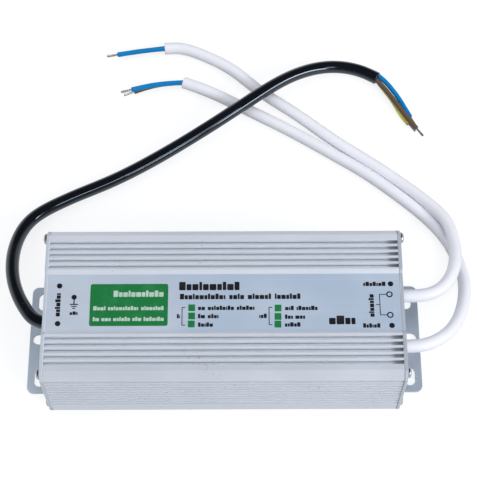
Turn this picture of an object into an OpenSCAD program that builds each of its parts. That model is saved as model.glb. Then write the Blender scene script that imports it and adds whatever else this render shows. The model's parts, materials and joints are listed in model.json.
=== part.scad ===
// Waterproof LED driver: finned aluminium tube, slotted end plates, one input cable and two output cables.
// Millimetres. X runs along the case from the input end to the output end, Y from front to back, Z up.
// The origin is the middle of the footprint, on the surface that the driver stands on.

/* [Case] */
// Length of the aluminium extrusion
case_len = 151.8; // [150:0.2:220]
// Width of the case from front to back
case_w = 70; // [63:0.5:90]
// Height of the case
case_h = 45; // [40:0.5:60]
// Bevel along the two upper corners
top_bevel = 3.4; // [2.4:0.1:3.8]
// Bevel along the two lower corners
bottom_bevel = 4.5; // [2:0.1:5]
// Thickness of the side walls, ribs included
side_wall = 3; // [2.6:0.1:3.6]
// Thickness of the top wall, fins included
top_wall = 4; // [3.4:0.1:4.6]
// Thickness of the floor
floor_t = 2.5; // [2:0.1:3]

/* [Fins and label panel] */
// Width of the flat label panel
panel_w = 26.8; // [20:0.2:36]
// Depth of the label panel below the fins
panel_recess = 1.3; // [0.6:0.1:2]
// Distance from one top groove to the next
fin_pitch = 2.81; // [2.2:0.01:4]
// Width of a top groove
fin_gap = 1.75; // [1.2:0.05:2]
// Depth of a top groove
fin_depth = 2; // [1:0.1:2.4]
// Least width of the flat land beside each upper bevel
land_w = 2.4; // [1.5:0.1:5]
// Distance from one side groove to the next
rib_pitch = 3.02; // [2.4:0.02:4]
// Width of a side groove
rib_gap = 1.5; // [1:0.1:2]
// Depth of a side groove
rib_depth = 1; // [0.5:0.1:1.2]
// Height of the plain band at the foot of each side
plain_band = 7; // [5:0.5:14]

/* [End plates] */
// Thickness of the end plate sheet
plate_t = 1.2; // [1:0.1:2]
// Thickness of the gasket behind an end plate
gasket_t = 0.4; // [0.3:0.1:1]
// Reach of the mounting flange from the face of its plate
flange_len = 11.4; // [10.6:0.1:20]
// Width of the mounting flange from front to back
flange_w = 51.5; // [49:0.5:56]
// Radius of the flange's outer corners
flange_corner_r = 3; // [1:0.5:5]
// Inside radius of the bend between plate and flange
bend_r = 0.8; // [0.5:0.1:1.5]
// Width of the mounting slots
slot_w = 4.8; // [4:0.1:5.4]
// Length of the two outer slots, end to end
slot_len = 8.4; // [6:0.1:10]
// Distance between the two outer slots' centres
slot_pitch = 37; // [32:0.5:40]
// Distance from the flange's edge to the outer slots' centre line
slot_inset = 5.5; // [4:0.1:6]
// Length of the centre slot, end to end
mid_slot_len = 7; // [6:0.1:8]
// Distance from the flange's edge to the centre slot
mid_slot_rim = 1.5; // [1:0.1:2.5]

/* [Screws] */
// Diameter of a screw head
head_d = 4.8; // [4:0.1:5]
// Height of a screw head
head_h = 1.7; // [1.2:0.1:2.4]
// Diameter of a screw's shank at the foot of its thread
shank_d = 2.5; // [2:0.1:2.6]
// Length of an end plate screw below its head
screw_len = 9; // [6:0.5:14]
// Distance of the screws from the sides of the case
screw_side = 3.6; // [3.4:0.1:4.2]
// Distance of the upper screws from the top of the case
screw_top = 3.4; // [3.2:0.1:4.2]
// Height of the lower screws above the foot of the case
screw_low = 6.4; // [5.5:0.1:7.5]

/* [Cables] */
// Diameter of the black input cable
input_d = 6.2; // [5.5:0.1:7]
// Diameter of the white output cables
output_d = 5.8; // [5.2:0.1:7]
// Diameter of one insulated core
core_d = 2.4; // [1.8:0.1:2.5]
// Diameter of a tinned wire end
strand_d = 1.1; // [0.8:0.1:1.4]
// Height of the cable holes above the foot of the case
exit_z = 22; // [21:0.5:26]
// Distance of each output cable from the middle of the case
output_y = 12; // [9:0.5:16]
// Wall of a grommet between cable and plate
grommet_wall = 1.3; // [1:0.1:2]
// Reach of a grommet's lip past the edge of its hole
grommet_lip = 1.2; // [0.8:0.1:2]

/* [Circuit] */
// Thickness of the circuit board
board_t = 1.6; // [1:0.1:2]
// Clearance from each end of the case to the board
board_end = 6; // [5:0.5:8]
// Diameter of the two bulk capacitors
bulk_d = 16; // [12:0.5:17]
// Clearance from the bulk capacitors to the roof of the case
bulk_clear = 3; // [1:0.5:8]
// Length of the transformer core
core_w = 33; // [28:0.5:33]
// Clearance from the transformer to the roof of the case
core_clear = 2.5; // [1:0.5:6]
// Outer diameter of the two chokes over their wire
choke_d = 23; // [18:0.5:23]
// Height of the two chokes over their wire
choke_h = 12; // [9:0.5:16]
// Clearance from the heat bars to the roof of the case
bar_clear = 5; // [1:0.5:7]

/* [Hidden] */
$fn = 48;

// Colours
silver = [0.78, 0.80, 0.84];
sheet_grey = [0.66, 0.69, 0.75];
seal_black = [0.10, 0.10, 0.11];
cable_black = [0.04, 0.04, 0.05];
cable_white = [0.93, 0.93, 0.95];
core_blue = [0.04, 0.45, 0.80];
core_brown = [0.40, 0.26, 0.20];
core_green = [0.55, 0.75, 0.15];
tin = [0.80, 0.80, 0.78];
copper = [0.72, 0.42, 0.22];
ferrite = [0.20, 0.20, 0.22];
package_black = [0.08, 0.08, 0.09];

// Small clearances shared by the pieces that fit together
slip = 0.05;
cable_clear = 0.1;
board_clear = 0.3;
cut = 1;

// Places along the case: its end, the gasket's outer face, the plate's outer face and the flange's edge
end_x = case_len / 2;
seal_x = end_x + gasket_t;
plate_x = seal_x + plate_t;
flange_x = plate_x + flange_len;

// Section of the case
half_w = case_w / 2;
panel_edge = panel_w / 2 + panel_recess;
fin_w = fin_pitch - fin_gap;
fin_count = floor((half_w - top_bevel - land_w - panel_edge) / fin_pitch);
rib_w = rib_pitch - rib_gap;
rib_shoulder = 1;
rib_top = case_h - top_bevel - rib_shoulder;
rib_count = floor((rib_top - bottom_bevel - plain_band + rib_w) / rib_pitch);
right_outline = [
    [half_w - bottom_bevel, 0], [half_w, bottom_bevel],
    [half_w, case_h - top_bevel], [half_w - top_bevel, case_h],
    [panel_edge, case_h], [panel_w / 2, case_h - panel_recess]
];
left_outline = [for (i = [len(right_outline) - 1:-1:0]) [-right_outline[i].x, right_outline[i].y]];
case_outline = concat(right_outline, left_outline);
cavity_w = case_w - 2 * side_wall;
cavity_top = case_h - top_wall;

// Screw ports in the four corners of the extrusion
screw_y = half_w - screw_side;
screw_z = case_h - screw_top;
port_r = 3.1;
port_bore_d = shank_d + 2 * slip;
plate_hole_clear = 0.4;
plate_hole_d = shank_d + 2 * plate_hole_clear;
gasket_hole_clear = 0.5;
gasket_hole_d = shank_d + 2 * gasket_hole_clear;
screw_places = [[screw_y, screw_z], [-screw_y, screw_z], [screw_y, screw_low], [-screw_y, screw_low]];

// Circuit board on its two ledges
ledge_w = 2;
ledge_t = 1.4;
ledge_rise = 0.9;
board_z = screw_low + port_r + ledge_rise;
board_top = board_z + board_t;
room_h = cavity_top - board_top;
board_len = case_len - 2 * board_end;
board_w = cavity_w - 2 * board_clear;
board_x = board_len / 2;
sheet_t = 0.4;
sheet_w = 2 * (screw_y - port_r) - 2 * board_clear;
potting_end = 1.6;

// Bend and relief at the foot of the end plates
bend_z = plate_t + bend_r;
relief = 1.2;

// Cable ends inside the case, where the leads go down to the board
sheath_inset = 4;
sheath_x = end_x - sheath_inset;
exit_run = 2.5;
exit_x = plate_x + exit_run;
lead_bend = 3;
lead_drop_in = 4;
lead_drop_x = board_x - lead_drop_in;
lead_row_step = 5;
far_drop_x = lead_drop_x - lead_row_step;
core_gap = 0.1;
core_step = (core_d + core_gap) / 2;
low_core = 0.56;
high_core = 1.2;

// Heat bars, thermal pads and the packages screwed to them
pad_t = 0.5;
bar_t = 3;
bar_face = cavity_w / 2 - pad_t - bar_t;
bar_h = room_h - bar_clear;
primary_bar_in = 55;
primary_bar_x = -board_x + primary_bar_in;
primary_bar_len = 30;
primary_package_step = 14;
secondary_bar_out = 31;
secondary_bar_x = board_x - secondary_bar_out;
secondary_bar_len = 36;
secondary_package_step = 16;
package_w = 10;
package_t = 4.5;
package_foot = 4;
package_h = 9.2;
tab_t = 1.3;
tab_h = 15.5;
tab_hole_up = 12.5;
tab_hole_z = package_foot + tab_hole_up;
bar_skin = 0.5;
screw_end_clear = 0.1;
package_screw_len = tab_t + bar_t - bar_skin - screw_end_clear;
leg_step = 2.54;

// Transformer
transformer_x = 8;
transformer_y = -2;
transformer_at = [transformer_x, transformer_y];
core_depth = 13;
core_leg = 10;
core_yoke = 3.5;
window_w = 6.5;
bobbin_base_t = 2.5;
bobbin_wall = 0.8;
winding_gap = 0.2;
core_h = room_h - bobbin_base_t - core_clear;

// Chokes
choke_wire = 1.7;
choke_band = 4.3;
choke_core_d = choke_d - 2 * choke_wire;
choke_bore_d = choke_core_d - 2 * choke_band;
choke_in = 24;
choke_y = 14;
choke_at = [-board_x + choke_in, choke_y];
output_choke_out = 32;
output_choke_y = 14;
output_choke_at = [board_x - output_choke_out, output_choke_y];

// Other parts on the board, placed from the end and the wall that they stand near
front_wall = -cavity_w / 2;
back_wall = cavity_w / 2;
fuse_d = 8.4;
fuse_h = 7.8;
fuse_in = 6.5;
fuse_off = 7;
fuse_at = [-board_x + fuse_in, front_wall + fuse_off];
disc_foot = 3;
thermistor_d = 11;
thermistor_t = 4.5;
thermistor_in = 8;
thermistor_off = 10;
thermistor_at = [-board_x + thermistor_in, back_wall - thermistor_off];
film_size = [26, 10, 19];
film_in = 24;
film_y = -17;
film_at = [-board_x + film_in, film_y];
bridge_size = [20, 3.6, 15];
bridge_in = 42;
bridge_off = 5;
bridge_at = [-board_x + bridge_in, front_wall + bridge_off];
bulk_h = room_h - bulk_clear;
bulk_in = 48;
bulk_x = -board_x + bulk_in;
bulk_mid = -3;
bulk_step = 18;
bulk_y = [bulk_mid - bulk_step / 2, bulk_mid + bulk_step / 2];
safety_disc_d = 9;
safety_disc_t = 4;
safety_disc_x = 16;
safety_disc_off = 8;
safety_disc_at = [safety_disc_x, front_wall + safety_disc_off];
chip_size = [9.5, 6.4, 3.4];
chip_x = 2;
chip_off = 14;
chip_at = [chip_x, back_wall - chip_off];
coupler_size = [4.8, 6.4, 3.4];
coupler_x = 16;
coupler_off = 14;
coupler_at = [coupler_x, back_wall - coupler_off];
chip_foot = 0.5;
chip_leg_t = 0.4;
smoothing_d = 10;
smoothing_h = 20;
smoothing_out = 12.5;
smoothing_x = board_x - smoothing_out;
smoothing_mid = -4;
smoothing_step = 12;
smoothing_y = [for (i = [-1:1]) smoothing_mid + i * smoothing_step];

// Cable routes, centre to centre, in the order that each cable leaves the case and lies on the surface
input_route = [
    [-sheath_x, 0, exit_z], [-exit_x, 0, exit_z], [-84, 1.6, 21.6], [-88, 6, 20.4], [-92.5, 14, 18.2],
    [-96, 24, 15.2], [-97.5, 35, 11.8], [-96.5, 47, 8], [-91.5, 58.5, 5], [-80.5, 67.5, 3.4],
    [-55, 80, 3.2], [-34, 92, 3.4], [-14.5, 104, 5.4], [4, 115.5, 8.8], [18, 125.5, 9.6],
    [34, 137, 7], [54, 144, 3.6], [68, 141.5, 3.2], [75.5, 137.5, 3.2]
];
rear_route = [
    [sheath_x, output_y, exit_z], [exit_x, output_y, exit_z], [87, 12.2, 21.8], [94, 14.2, 21],
    [100, 19.5, 19], [104, 27, 16.5], [106, 36, 13.5], [106, 46, 10.6], [103.5, 56.5, 8],
    [97, 66, 5.6], [81, 81.5, 3], [51, 104, 3], [34.5, 117.5, 3], [15, 132.5, 3], [4, 142.5, 3],
    [-12, 152, 3], [-22, 155.5, 3], [-30, 155.5, 3]
];
front_route = [
    [sheath_x, -output_y, exit_z], [exit_x, -output_y, exit_z], [87, -11.4, 21.5], [94, -8.3, 19.6],
    [101, -2, 16], [107, 8.5, 11], [110, 20, 6.8], [110.5, 28, 4.4], [109, 36.5, 3.2], [106, 45, 3],
    [100.5, 54, 3], [94, 61.5, 3], [81, 73.5, 3], [66, 85.5, 3], [51, 95.5, 3], [34, 106.5, 3],
    [12.5, 119, 3], [-14, 133, 3], [-20.3, 135.5, 3]
];
live_route = [
    core_start(input_route, core_step, 0.8), [78.1, 132.3, 3.9], [82.5, 125.6, 3.9], [87.9, 116.7, 3.8],
    [93.4, 108.7, 3.6]
];
neutral_route = [
    core_start(input_route, -core_step, 0.8), [79.4, 135.3, 3.75], [82.9, 131, 2.9], [85.7, 126.8, 2.2],
    [88.1, 122.4, 1.6], [91, 116.5, 1.4]
];
earth_route = [
    core_start(input_route, 0, -1.3), [78.7, 132.6, 1.4], [82.8, 126, 1.3], [87.4, 116.7, 1.3],
    [90.1, 112.6, 1.3]
];
rear_negative_route = [core_start(rear_route, -0.5, 1.1), [-42.6, 153.4, 3.8], [-53.6, 151.6, 3.75]];
rear_positive_route = [core_start(rear_route, 0.7, -1.1), [-42.6, 155.1, 1.35], [-53.2, 153.2, 1.3]];
front_negative_route = [
    core_start(front_route, -0.6, 1.05), [-30.2, 134.4, 3.8], [-38.1, 133.1, 3.8], [-46, 131.1, 3.75]
];
front_positive_route = [
    core_start(front_route, 0.7, -1.05), [-32.3, 135.4, 1.35], [-38.2, 133.9, 1.3], [-44.9, 131.4, 1.3]
];
strand_len = 5.5;
core_routes = [
    live_route, neutral_route, earth_route, rear_negative_route, rear_positive_route, front_negative_route,
    front_positive_route
];

// Extrudes a section drawn as Y and Z along the case, centred on the origin
module along_case(length) {
    rotate([90, 0, 90]) linear_extrude(length, center = true) children();
}

// Repeats a piece of the output end at the input end
module at_input_end() {
    mirror([1, 0, 0]) children();
}

// Stands a piece on the board
module on_board(place) {
    translate([place.x, place.y, board_top]) children();
}

// Block standing on the board, centred on its place
module board_block(size) {
    translate([-size.x / 2, -size.y / 2, 0]) cube(size);
}

// Hollow inside of the case, with the screw ports and board ledges standing in it
module cavity_section() {
    difference() {
        translate([-cavity_w / 2, floor_t]) square([cavity_w, cavity_top - floor_t]);
        for (place = screw_places) translate(place) circle(port_r);
        for (side = [0, 1]) mirror([side, 0]) {
            translate([screw_y - port_r, 0]) square([half_w, screw_low]);
            translate([cavity_w / 2 - ledge_w, board_z - ledge_t]) square([half_w, ledge_t]);
        }
    }
}

// Cooling grooves of the top, beside the label panel, and of both sides
module groove_section() {
    for (side = [0, 1]) mirror([side, 0]) {
        for (i = [0:fin_count - 1])
            translate([panel_edge + fin_w + i * fin_pitch, case_h - fin_depth])
                square([fin_gap, fin_depth + cut]);
        for (i = [0:rib_count - 1])
            translate([half_w - rib_depth, rib_top - rib_gap - i * rib_pitch])
                square([rib_depth + cut, rib_gap]);
    }
}

module case_extrusion() {
    color(silver) along_case(case_len) difference() {
        polygon(case_outline);
        groove_section();
        cavity_section();
        for (place = screw_places) translate(place) circle(d = port_bore_d);
    }
}

// Flat seal with the outline of the case and the opening of its hollow
module gasket() {
    color(seal_black) translate([end_x + gasket_t / 2, 0, 0]) along_case(gasket_t) difference() {
        polygon(case_outline);
        cavity_section();
        for (place = screw_places) translate(place) circle(d = gasket_hole_d);
    }
}

function grommet_bore_r(cable_d) = cable_d / 2 + cable_clear;
function grommet_neck_r(cable_d) = grommet_bore_r(cable_d) + grommet_wall;

// Upright part of an end plate, with its screw holes, cable holes and the window where the flange bends out
module plate_face(cable_d, cable_places) {
    translate([seal_x + plate_t / 2, 0, 0]) along_case(plate_t) difference() {
        polygon(case_outline);
        translate([-flange_w / 2 - relief, -cut]) square([flange_w + 2 * relief, bend_z + cut]);
        for (place = screw_places) translate(place) circle(d = plate_hole_d);
        for (y = cable_places) translate([y, exit_z]) circle(grommet_neck_r(cable_d) + slip);
    }
}

// Plan of the flange, round at its two outer corners
module flange_plan() {
    corner_x = flange_x - flange_corner_r;
    corner_y = flange_w / 2 - flange_corner_r;
    translate([seal_x, -flange_w / 2]) square([corner_x - seal_x, flange_w]);
    translate([seal_x, -corner_y]) square([flange_x - seal_x, 2 * corner_y]);
    for (y = [-corner_y, corner_y]) translate([corner_x, y]) circle(flange_corner_r);
}

// Slot with round ends along X, centred on the origin
module slot_plan(length) {
    run = length - slot_w;
    translate([-run / 2, -slot_w / 2]) square([run, slot_w]);
    for (x = [-run / 2, run / 2]) translate([x, 0]) circle(d = slot_w);
}

// Bent foot of an end plate
module flange() {
    intersection() {
        rotate([90, 0, 0]) linear_extrude(flange_w, center = true) {
            translate([plate_x + bend_r, bend_z]) intersection() {
                difference() {
                    circle(bend_r + plate_t);
                    circle(bend_r);
                }
                translate([-2 * bend_z, -2 * bend_z]) square(2 * bend_z);
            }
            translate([plate_x + bend_r, 0]) square([flange_len - bend_r, plate_t]);
        }
        linear_extrude(bend_z + cut) difference() {
            flange_plan();
            for (y = [-slot_pitch / 2, slot_pitch / 2])
                translate([flange_x - slot_inset, y]) rotate(90) slot_plan(slot_len);
            translate([flange_x - mid_slot_rim - mid_slot_len / 2, 0]) slot_plan(mid_slot_len);
        }
    }
}

module end_plate(cable_d, cable_places) {
    color(sheet_grey) union() {
        plate_face(cable_d, cable_places);
        flange();
    }
}

// Pan-head screw along Z, seated at the origin, with a cross recess
module pan_screw(length) {
    recess_w = 0.9;
    recess_len = head_d * 0.56;
    recess_depth = head_h * 0.6;
    tip = 0.8;
    difference() {
        rotate_extrude() polygon([
            [0, -length], [shank_d / 2 - tip / 2, -length], [shank_d / 2, tip - length], [shank_d / 2, 0],
            [head_d / 2, 0], [head_d / 2, head_h * 0.45], [head_d * 0.42, head_h * 0.8],
            [head_d * 0.26, head_h], [0, head_h]
        ]);
        for (turn = [0, 90]) rotate(turn)
            translate([-recess_len / 2, -recess_w / 2, head_h - recess_depth])
                cube([recess_len, recess_w, head_h]);
    }
}

module end_plate_screws() {
    color(tin) for (side = [0, 1]) mirror([side, 0, 0]) for (place = screw_places)
        translate([plate_x, place.x, place.y]) rotate([0, 90, 0]) rotate(45) pan_screw(screw_len);
}

// Rubber bush that holds the edge of its plate between two lips
module grommet(cable_d, y) {
    bore_r = grommet_bore_r(cable_d);
    neck_r = grommet_neck_r(cable_d);
    lip_r = neck_r + grommet_lip;
    lip_t = 1.2;
    color(seal_black) translate([seal_x, y, exit_z]) rotate([0, 90, 0]) rotate_extrude() polygon([
        [bore_r, -lip_t], [lip_r, -lip_t], [lip_r, 0], [neck_r, 0], [neck_r, plate_t], [lip_r, plate_t],
        [lip_r - lip_t / 2, plate_t + lip_t], [bore_r, plate_t + lip_t]
    ]);
}

function unit(v) = v / norm(v);
function across(along) = unit(cross(along, [0, 0, 1]));
function heading(route, i) = unit(route[min(i + 1, len(route) - 1)] - route[max(i - 1, 0)]);
function end_heading(route) = heading(route, len(route) - 1);

// Point in the end face of a sheath, so far across and up from its middle
function core_start(sheath, side, rise) =
    let (along = end_heading(sheath))
    sheath[len(sheath) - 1] + side * across(along) + rise * cross(across(along), along);

// Ring of points round a point, square to the direction given
function ring(point, along, d, sides) =
    let (side = across(along), up = cross(side, along))
    [for (k = [0:sides - 1]) point + d / 2 * (cos(360 * k / sides) * side + sin(360 * k / sides) * up)];

// Closed tube swept along a route, with its first ring square to the direction given
module tube(route, d, sides, start_along) {
    last = len(route) - 1;
    points = [for (i = [0:last]) each ring(route[i], i == 0 ? start_along : heading(route, i), d, sides)];
    walls = [for (i = [0:last - 1]) for (k = [0:sides - 1])
        let (a = i * sides + k, b = i * sides + (k + 1) % sides)
            each [[a, b, b + sides], [a, b + sides, a + sides]]];
    start = [for (k = [sides - 1:-1:0]) k];
    finish = [for (k = [0:sides - 1]) last * sides + k];
    polyhedron(points, concat(walls, [start, finish]));
}

module sheath(route, d) {
    tube(route, d, 10, heading(route, 0));
}

module core(route, sheath_route) {
    tube(route, core_d, 8, end_heading(sheath_route));
}

// Tinned end of one core, a straight rod from the end of its insulation
module strand(route) {
    way = end_heading(route);
    translate(route[len(route) - 1]) rotate([0, acos(way.z), atan2(way.y, way.x)])
        cylinder(d = strand_d, h = strand_len);
}

module wire_ends() {
    color(tin) for (route = core_routes) strand(route);
}

// One core inside the case: along from the sheath's end, round a bend and down to the board
module lead(y, z, drop_x) {
    arc_x = drop_x + lead_bend;
    arc_z = z - lead_bend;
    translate([arc_x, y, z]) rotate([0, 90, 0]) cylinder(d = core_d, h = sheath_x - arc_x);
    translate([arc_x, y, arc_z]) rotate([90, 0, 0]) rotate([0, 0, 90])
        rotate_extrude(angle = 90) translate([lead_bend, 0]) circle(d = core_d);
    translate([drop_x, y, board_top]) cylinder(d = core_d, h = arc_z - board_top);
}

module input_leads() {
    color(core_brown) rotate(180) {
        for (y = [-core_step, core_step]) lead(y, exit_z - low_core * core_step, lead_drop_x);
        lead(0, exit_z + high_core * core_step, far_drop_x);
    }
}

module output_leads() {
    color(core_blue) for (middle = [-output_y, output_y], side = [-core_step, core_step])
        lead(middle + side, exit_z, lead_drop_x);
}

module circuit_board() {
    color([0.10, 0.36, 0.20]) translate([-board_x, -board_w / 2, board_z])
        cube([board_len, board_w, board_t]);
}

module insulating_sheet() {
    color([0.86, 0.84, 0.74]) translate([-board_x, -sheet_w / 2, floor_t])
        cube([board_len, sheet_w, sheet_t]);
}

module fuse() {
    color([0.55, 0.30, 0.18]) on_board(fuse_at) rotate_extrude() polygon([
        [0, 0], [fuse_d / 2, 0], [fuse_d / 2, fuse_h - 0.6], [fuse_d / 2 - 0.6, fuse_h], [0, fuse_h]
    ]);
}

// Disc part standing on its two wires, thin along X
module standing_disc(d, thick) {
    wire_d = 0.8;
    translate([-thick / 2, 0, disc_foot + d / 2]) rotate([0, 90, 0]) cylinder(d = d, h = thick);
    for (y = [-d / 4, d / 4]) translate([0, y, 0]) cylinder(d = wire_d, h = disc_foot + d / 2, $fn = 16);
}

module thermistor() {
    color([0.16, 0.22, 0.18]) on_board(thermistor_at) standing_disc(thermistor_d, thermistor_t);
}

module y_capacitor() {
    color([0.10, 0.28, 0.62]) on_board(safety_disc_at) rotate(90) standing_disc(safety_disc_d, safety_disc_t);
}

module x_capacitor() {
    color([0.85, 0.72, 0.20]) on_board(film_at) board_block(film_size);
}

// Flat rectifier with one cut corner, standing on four legs
module bridge_rectifier() {
    leg_w = 1.2;
    corner = 3;
    color(package_black) on_board(bridge_at) {
        translate([0, bridge_size.y / 2, disc_foot]) rotate([90, 0, 0]) linear_extrude(bridge_size.y)
            polygon([
                [-bridge_size.x / 2, 0], [bridge_size.x / 2, 0], [bridge_size.x / 2, bridge_size.z],
                [corner - bridge_size.x / 2, bridge_size.z], [-bridge_size.x / 2, bridge_size.z - corner]
            ]);
        for (i = [-1.5:1:1.5]) translate([i * 2 * leg_step - leg_w / 2, -leg_w / 2, 0])
            cube([leg_w, leg_w, disc_foot]);
    }
}

// Can capacitor with a rolled groove above its foot
module can_capacitor(d, h) {
    groove = 0.5;
    groove_z = 3;
    rim = 0.8;
    rotate_extrude() polygon([
        [0, 0], [d / 2, 0], [d / 2, groove_z - groove], [d / 2 - groove, groove_z],
        [d / 2, groove_z + groove], [d / 2, h - rim], [d / 2 - rim, h], [0, h]
    ]);
}

module bulk_capacitors() {
    color([0.12, 0.12, 0.16]) for (y = bulk_y) on_board([bulk_x, y]) can_capacitor(bulk_d, bulk_h);
}

module output_capacitors() {
    color([0.14, 0.30, 0.20]) for (y = smoothing_y) on_board([smoothing_x, y])
        can_capacitor(smoothing_d, smoothing_h);
}

// Ring core of a choke, centred in the height of its wire
module ring_core(h) {
    translate([0, 0, choke_wire]) difference() {
        cylinder(d = choke_core_d, h = h - 2 * choke_wire);
        translate([0, 0, -cut]) cylinder(d = choke_bore_d, h = h + cut);
    }
}

// Wire wound round a sector of a ring core, as one sleeve that lies on the core
module ring_winding(h, start, sector) {
    bore_d = choke_bore_d - 2 * choke_wire;
    rotate(start) rotate_extrude(angle = sector) difference() {
        translate([bore_d / 2, 0]) square([(choke_d - bore_d) / 2, h]);
        translate([choke_bore_d / 2, choke_wire])
            square([(choke_core_d - choke_bore_d) / 2, h - 2 * choke_wire]);
    }
}

module choke_core() {
    color(ferrite) on_board(choke_at) ring_core(choke_h);
}

module choke_windings() {
    color(copper) on_board(choke_at) for (start = [20, 200]) ring_winding(choke_h, start, 140);
}

module output_choke_core() {
    color([0.78, 0.72, 0.30]) on_board(output_choke_at) ring_core(choke_h);
}

module output_choke_winding() {
    color(copper) on_board(output_choke_at) ring_winding(choke_h, 30, 300);
}

// Places of the two packages on each bar: distance along the case, and side of the case
primary_packages = [for (side = [-0.5, 0.5]) primary_bar_x + side * primary_package_step];
secondary_packages = [for (side = [-0.5, 0.5]) secondary_bar_x + side * secondary_package_step];

// Puts children at each package of a bar, with Y pointing into the bar
module at_packages(places, side) {
    for (x = places) translate([x, side * bar_face, board_top]) rotate(side > 0 ? 0 : 180) children();
}

// Three-legged power package with a drilled metal tab behind it
module power_package() {
    leg_w = 0.8;
    difference() {
        union() {
            translate([-package_w / 2, -package_t, package_foot]) cube([package_w, package_t, package_h]);
            translate([-package_w / 2, -tab_t, package_foot]) cube([package_w, tab_t, tab_h]);
            for (i = [-1:1]) translate([i * leg_step - leg_w / 2, -package_t / 2, 0])
                cube([leg_w, leg_w, package_foot + cut]);
        }
        translate([0, cut, tab_hole_z]) rotate([90, 0, 0]) cylinder(d = plate_hole_d, h = tab_t + 2 * cut);
    }
}

module power_transistors() {
    color(package_black) at_packages(primary_packages, 1) power_package();
}

module output_rectifiers() {
    color(package_black) at_packages(secondary_packages, -1) power_package();
}

module package_screws() {
    color(tin) {
        at_packages(primary_packages, 1) tab_screw();
        at_packages(secondary_packages, -1) tab_screw();
    }
}

module tab_screw() {
    translate([0, -tab_t, tab_hole_z]) rotate([90, 0, 0]) pan_screw(package_screw_len);
}

// Aluminium bar that stands on the board and passes heat to the side wall
module heat_bar(x, length, side, places) {
    color(silver) difference() {
        translate([x - length / 2, min(side * bar_face, side * (bar_face + bar_t)), board_top])
            cube([length, bar_t, bar_h]);
        at_packages(places, side) translate([0, bar_t - bar_skin, tab_hole_z]) rotate([90, 0, 0])
            cylinder(d = port_bore_d, h = bar_t + cut);
    }
}

module primary_heat_bar() {
    heat_bar(primary_bar_x, primary_bar_len, 1, primary_packages);
}

module secondary_heat_bar() {
    heat_bar(secondary_bar_x, secondary_bar_len, -1, secondary_packages);
}

module thermal_pad(x, length, side) {
    inner = bar_face + bar_t;
    color([0.62, 0.70, 0.76])
        translate([x - length / 2, min(side * inner, side * (inner + pad_t)), board_top])
            cube([length, pad_t, bar_h]);
}

// Plan of a block with rounded corners
module rounded_plan(size, r) {
    translate([-size.x / 2 + r, -size.y / 2]) square([size.x - 2 * r, size.y]);
    translate([-size.x / 2, -size.y / 2 + r]) square([size.x, size.y - 2 * r]);
    for (x = [-1, 1], y = [-1, 1]) translate([x * (size.x / 2 - r), y * (size.y / 2 - r)]) circle(r);
}

winding_size = [core_leg + 2 * window_w - 2 * winding_gap, core_depth + 2 * window_w - 2 * winding_gap];
former_size = [core_leg + 2 * bobbin_wall, core_depth + 2 * bobbin_wall];
winding_h = core_h - 2 * core_yoke - 2 * bobbin_wall;
winding_r = 3;

// Pair of ferrite E cores closed on each other, with two windows for the winding
module transformer_core() {
    color(ferrite) on_board(transformer_at) translate([0, 0, bobbin_base_t]) difference() {
        board_block([core_w, core_depth, core_h]);
        for (side = [-1, 1])
            translate([side * (core_leg + window_w) / 2 - window_w / 2, -core_depth, core_yoke])
                cube([window_w, 2 * core_depth, core_h - 2 * core_yoke]);
    }
}

// Former with a base on the board and a flanged tube round the core's middle leg
module transformer_bobbin() {
    color([0.20, 0.18, 0.17]) on_board(transformer_at) {
        board_block([core_w, winding_size.y, bobbin_base_t]);
        for (side = [-1, 1]) translate([0, side * (core_depth + window_w - winding_gap) / 2, 0])
            board_block([core_leg, window_w - winding_gap, bobbin_base_t + core_yoke]);
        translate([0, 0, bobbin_base_t + core_yoke]) linear_extrude(winding_h + 2 * bobbin_wall)
            difference() {
                square(former_size, center = true);
                square([core_leg, core_depth], center = true);
            }
        for (z = [0, winding_h + bobbin_wall])
            translate([0, 0, bobbin_base_t + core_yoke + z]) linear_extrude(bobbin_wall) difference() {
                rounded_plan(winding_size, winding_r);
                square([core_leg, core_depth], center = true);
            }
    }
}

module transformer_winding() {
    color([0.86, 0.74, 0.24]) on_board(transformer_at)
        translate([0, 0, bobbin_base_t + core_yoke + bobbin_wall]) linear_extrude(winding_h) difference() {
            rounded_plan(winding_size, winding_r);
            square(former_size, center = true);
        }
}

// Small chip on the board, with a row of legs on each long side
module dual_row_chip(size, legs) {
    leg_w = 1;
    leg_y = (size.y + chip_leg_t) / 2;
    translate([0, 0, chip_foot]) board_block(size);
    for (side = [-1, 1], i = [0:legs - 1])
        translate([(i - (legs - 1) / 2) * leg_step - leg_w / 2, side * leg_y - chip_leg_t / 2, 0])
            cube([leg_w, chip_leg_t, chip_foot + size.z / 2]);
}

module controller_chip() {
    color(package_black) on_board(chip_at) dual_row_chip(chip_size, 4);
}

module optocoupler() {
    color(package_black) on_board(coupler_at) dual_row_chip(coupler_size, 2);
}

// Room that the parts on the board take up in the potting
module board_parts_room() {
    fuse();
    on_board(thermistor_at) board_block([thermistor_t, thermistor_d, disc_foot + thermistor_d]);
    on_board(safety_disc_at) board_block([safety_disc_d, safety_disc_t, disc_foot + safety_disc_d]);
    x_capacitor();
    on_board(bridge_at) board_block(bridge_size + [0, 0, disc_foot]);
    for (y = bulk_y) on_board([bulk_x, y]) cylinder(d = bulk_d, h = bulk_h);
    for (y = smoothing_y) on_board([smoothing_x, y]) cylinder(d = smoothing_d, h = smoothing_h);
    for (place = [choke_at, output_choke_at]) on_board(place) cylinder(d = choke_d, h = choke_h);
    on_board(transformer_at) {
        board_block([core_w, winding_size.y, bobbin_base_t]);
        board_block([core_w, core_depth, bobbin_base_t + core_h]);
        board_block([winding_size.x, winding_size.y, bobbin_base_t + core_h - core_yoke]);
    }
    on_board(chip_at) board_block(chip_size + [0, 2 * chip_leg_t, chip_foot]);
    on_board(coupler_at) board_block(coupler_size + [0, 2 * chip_leg_t, chip_foot]);
}

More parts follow.
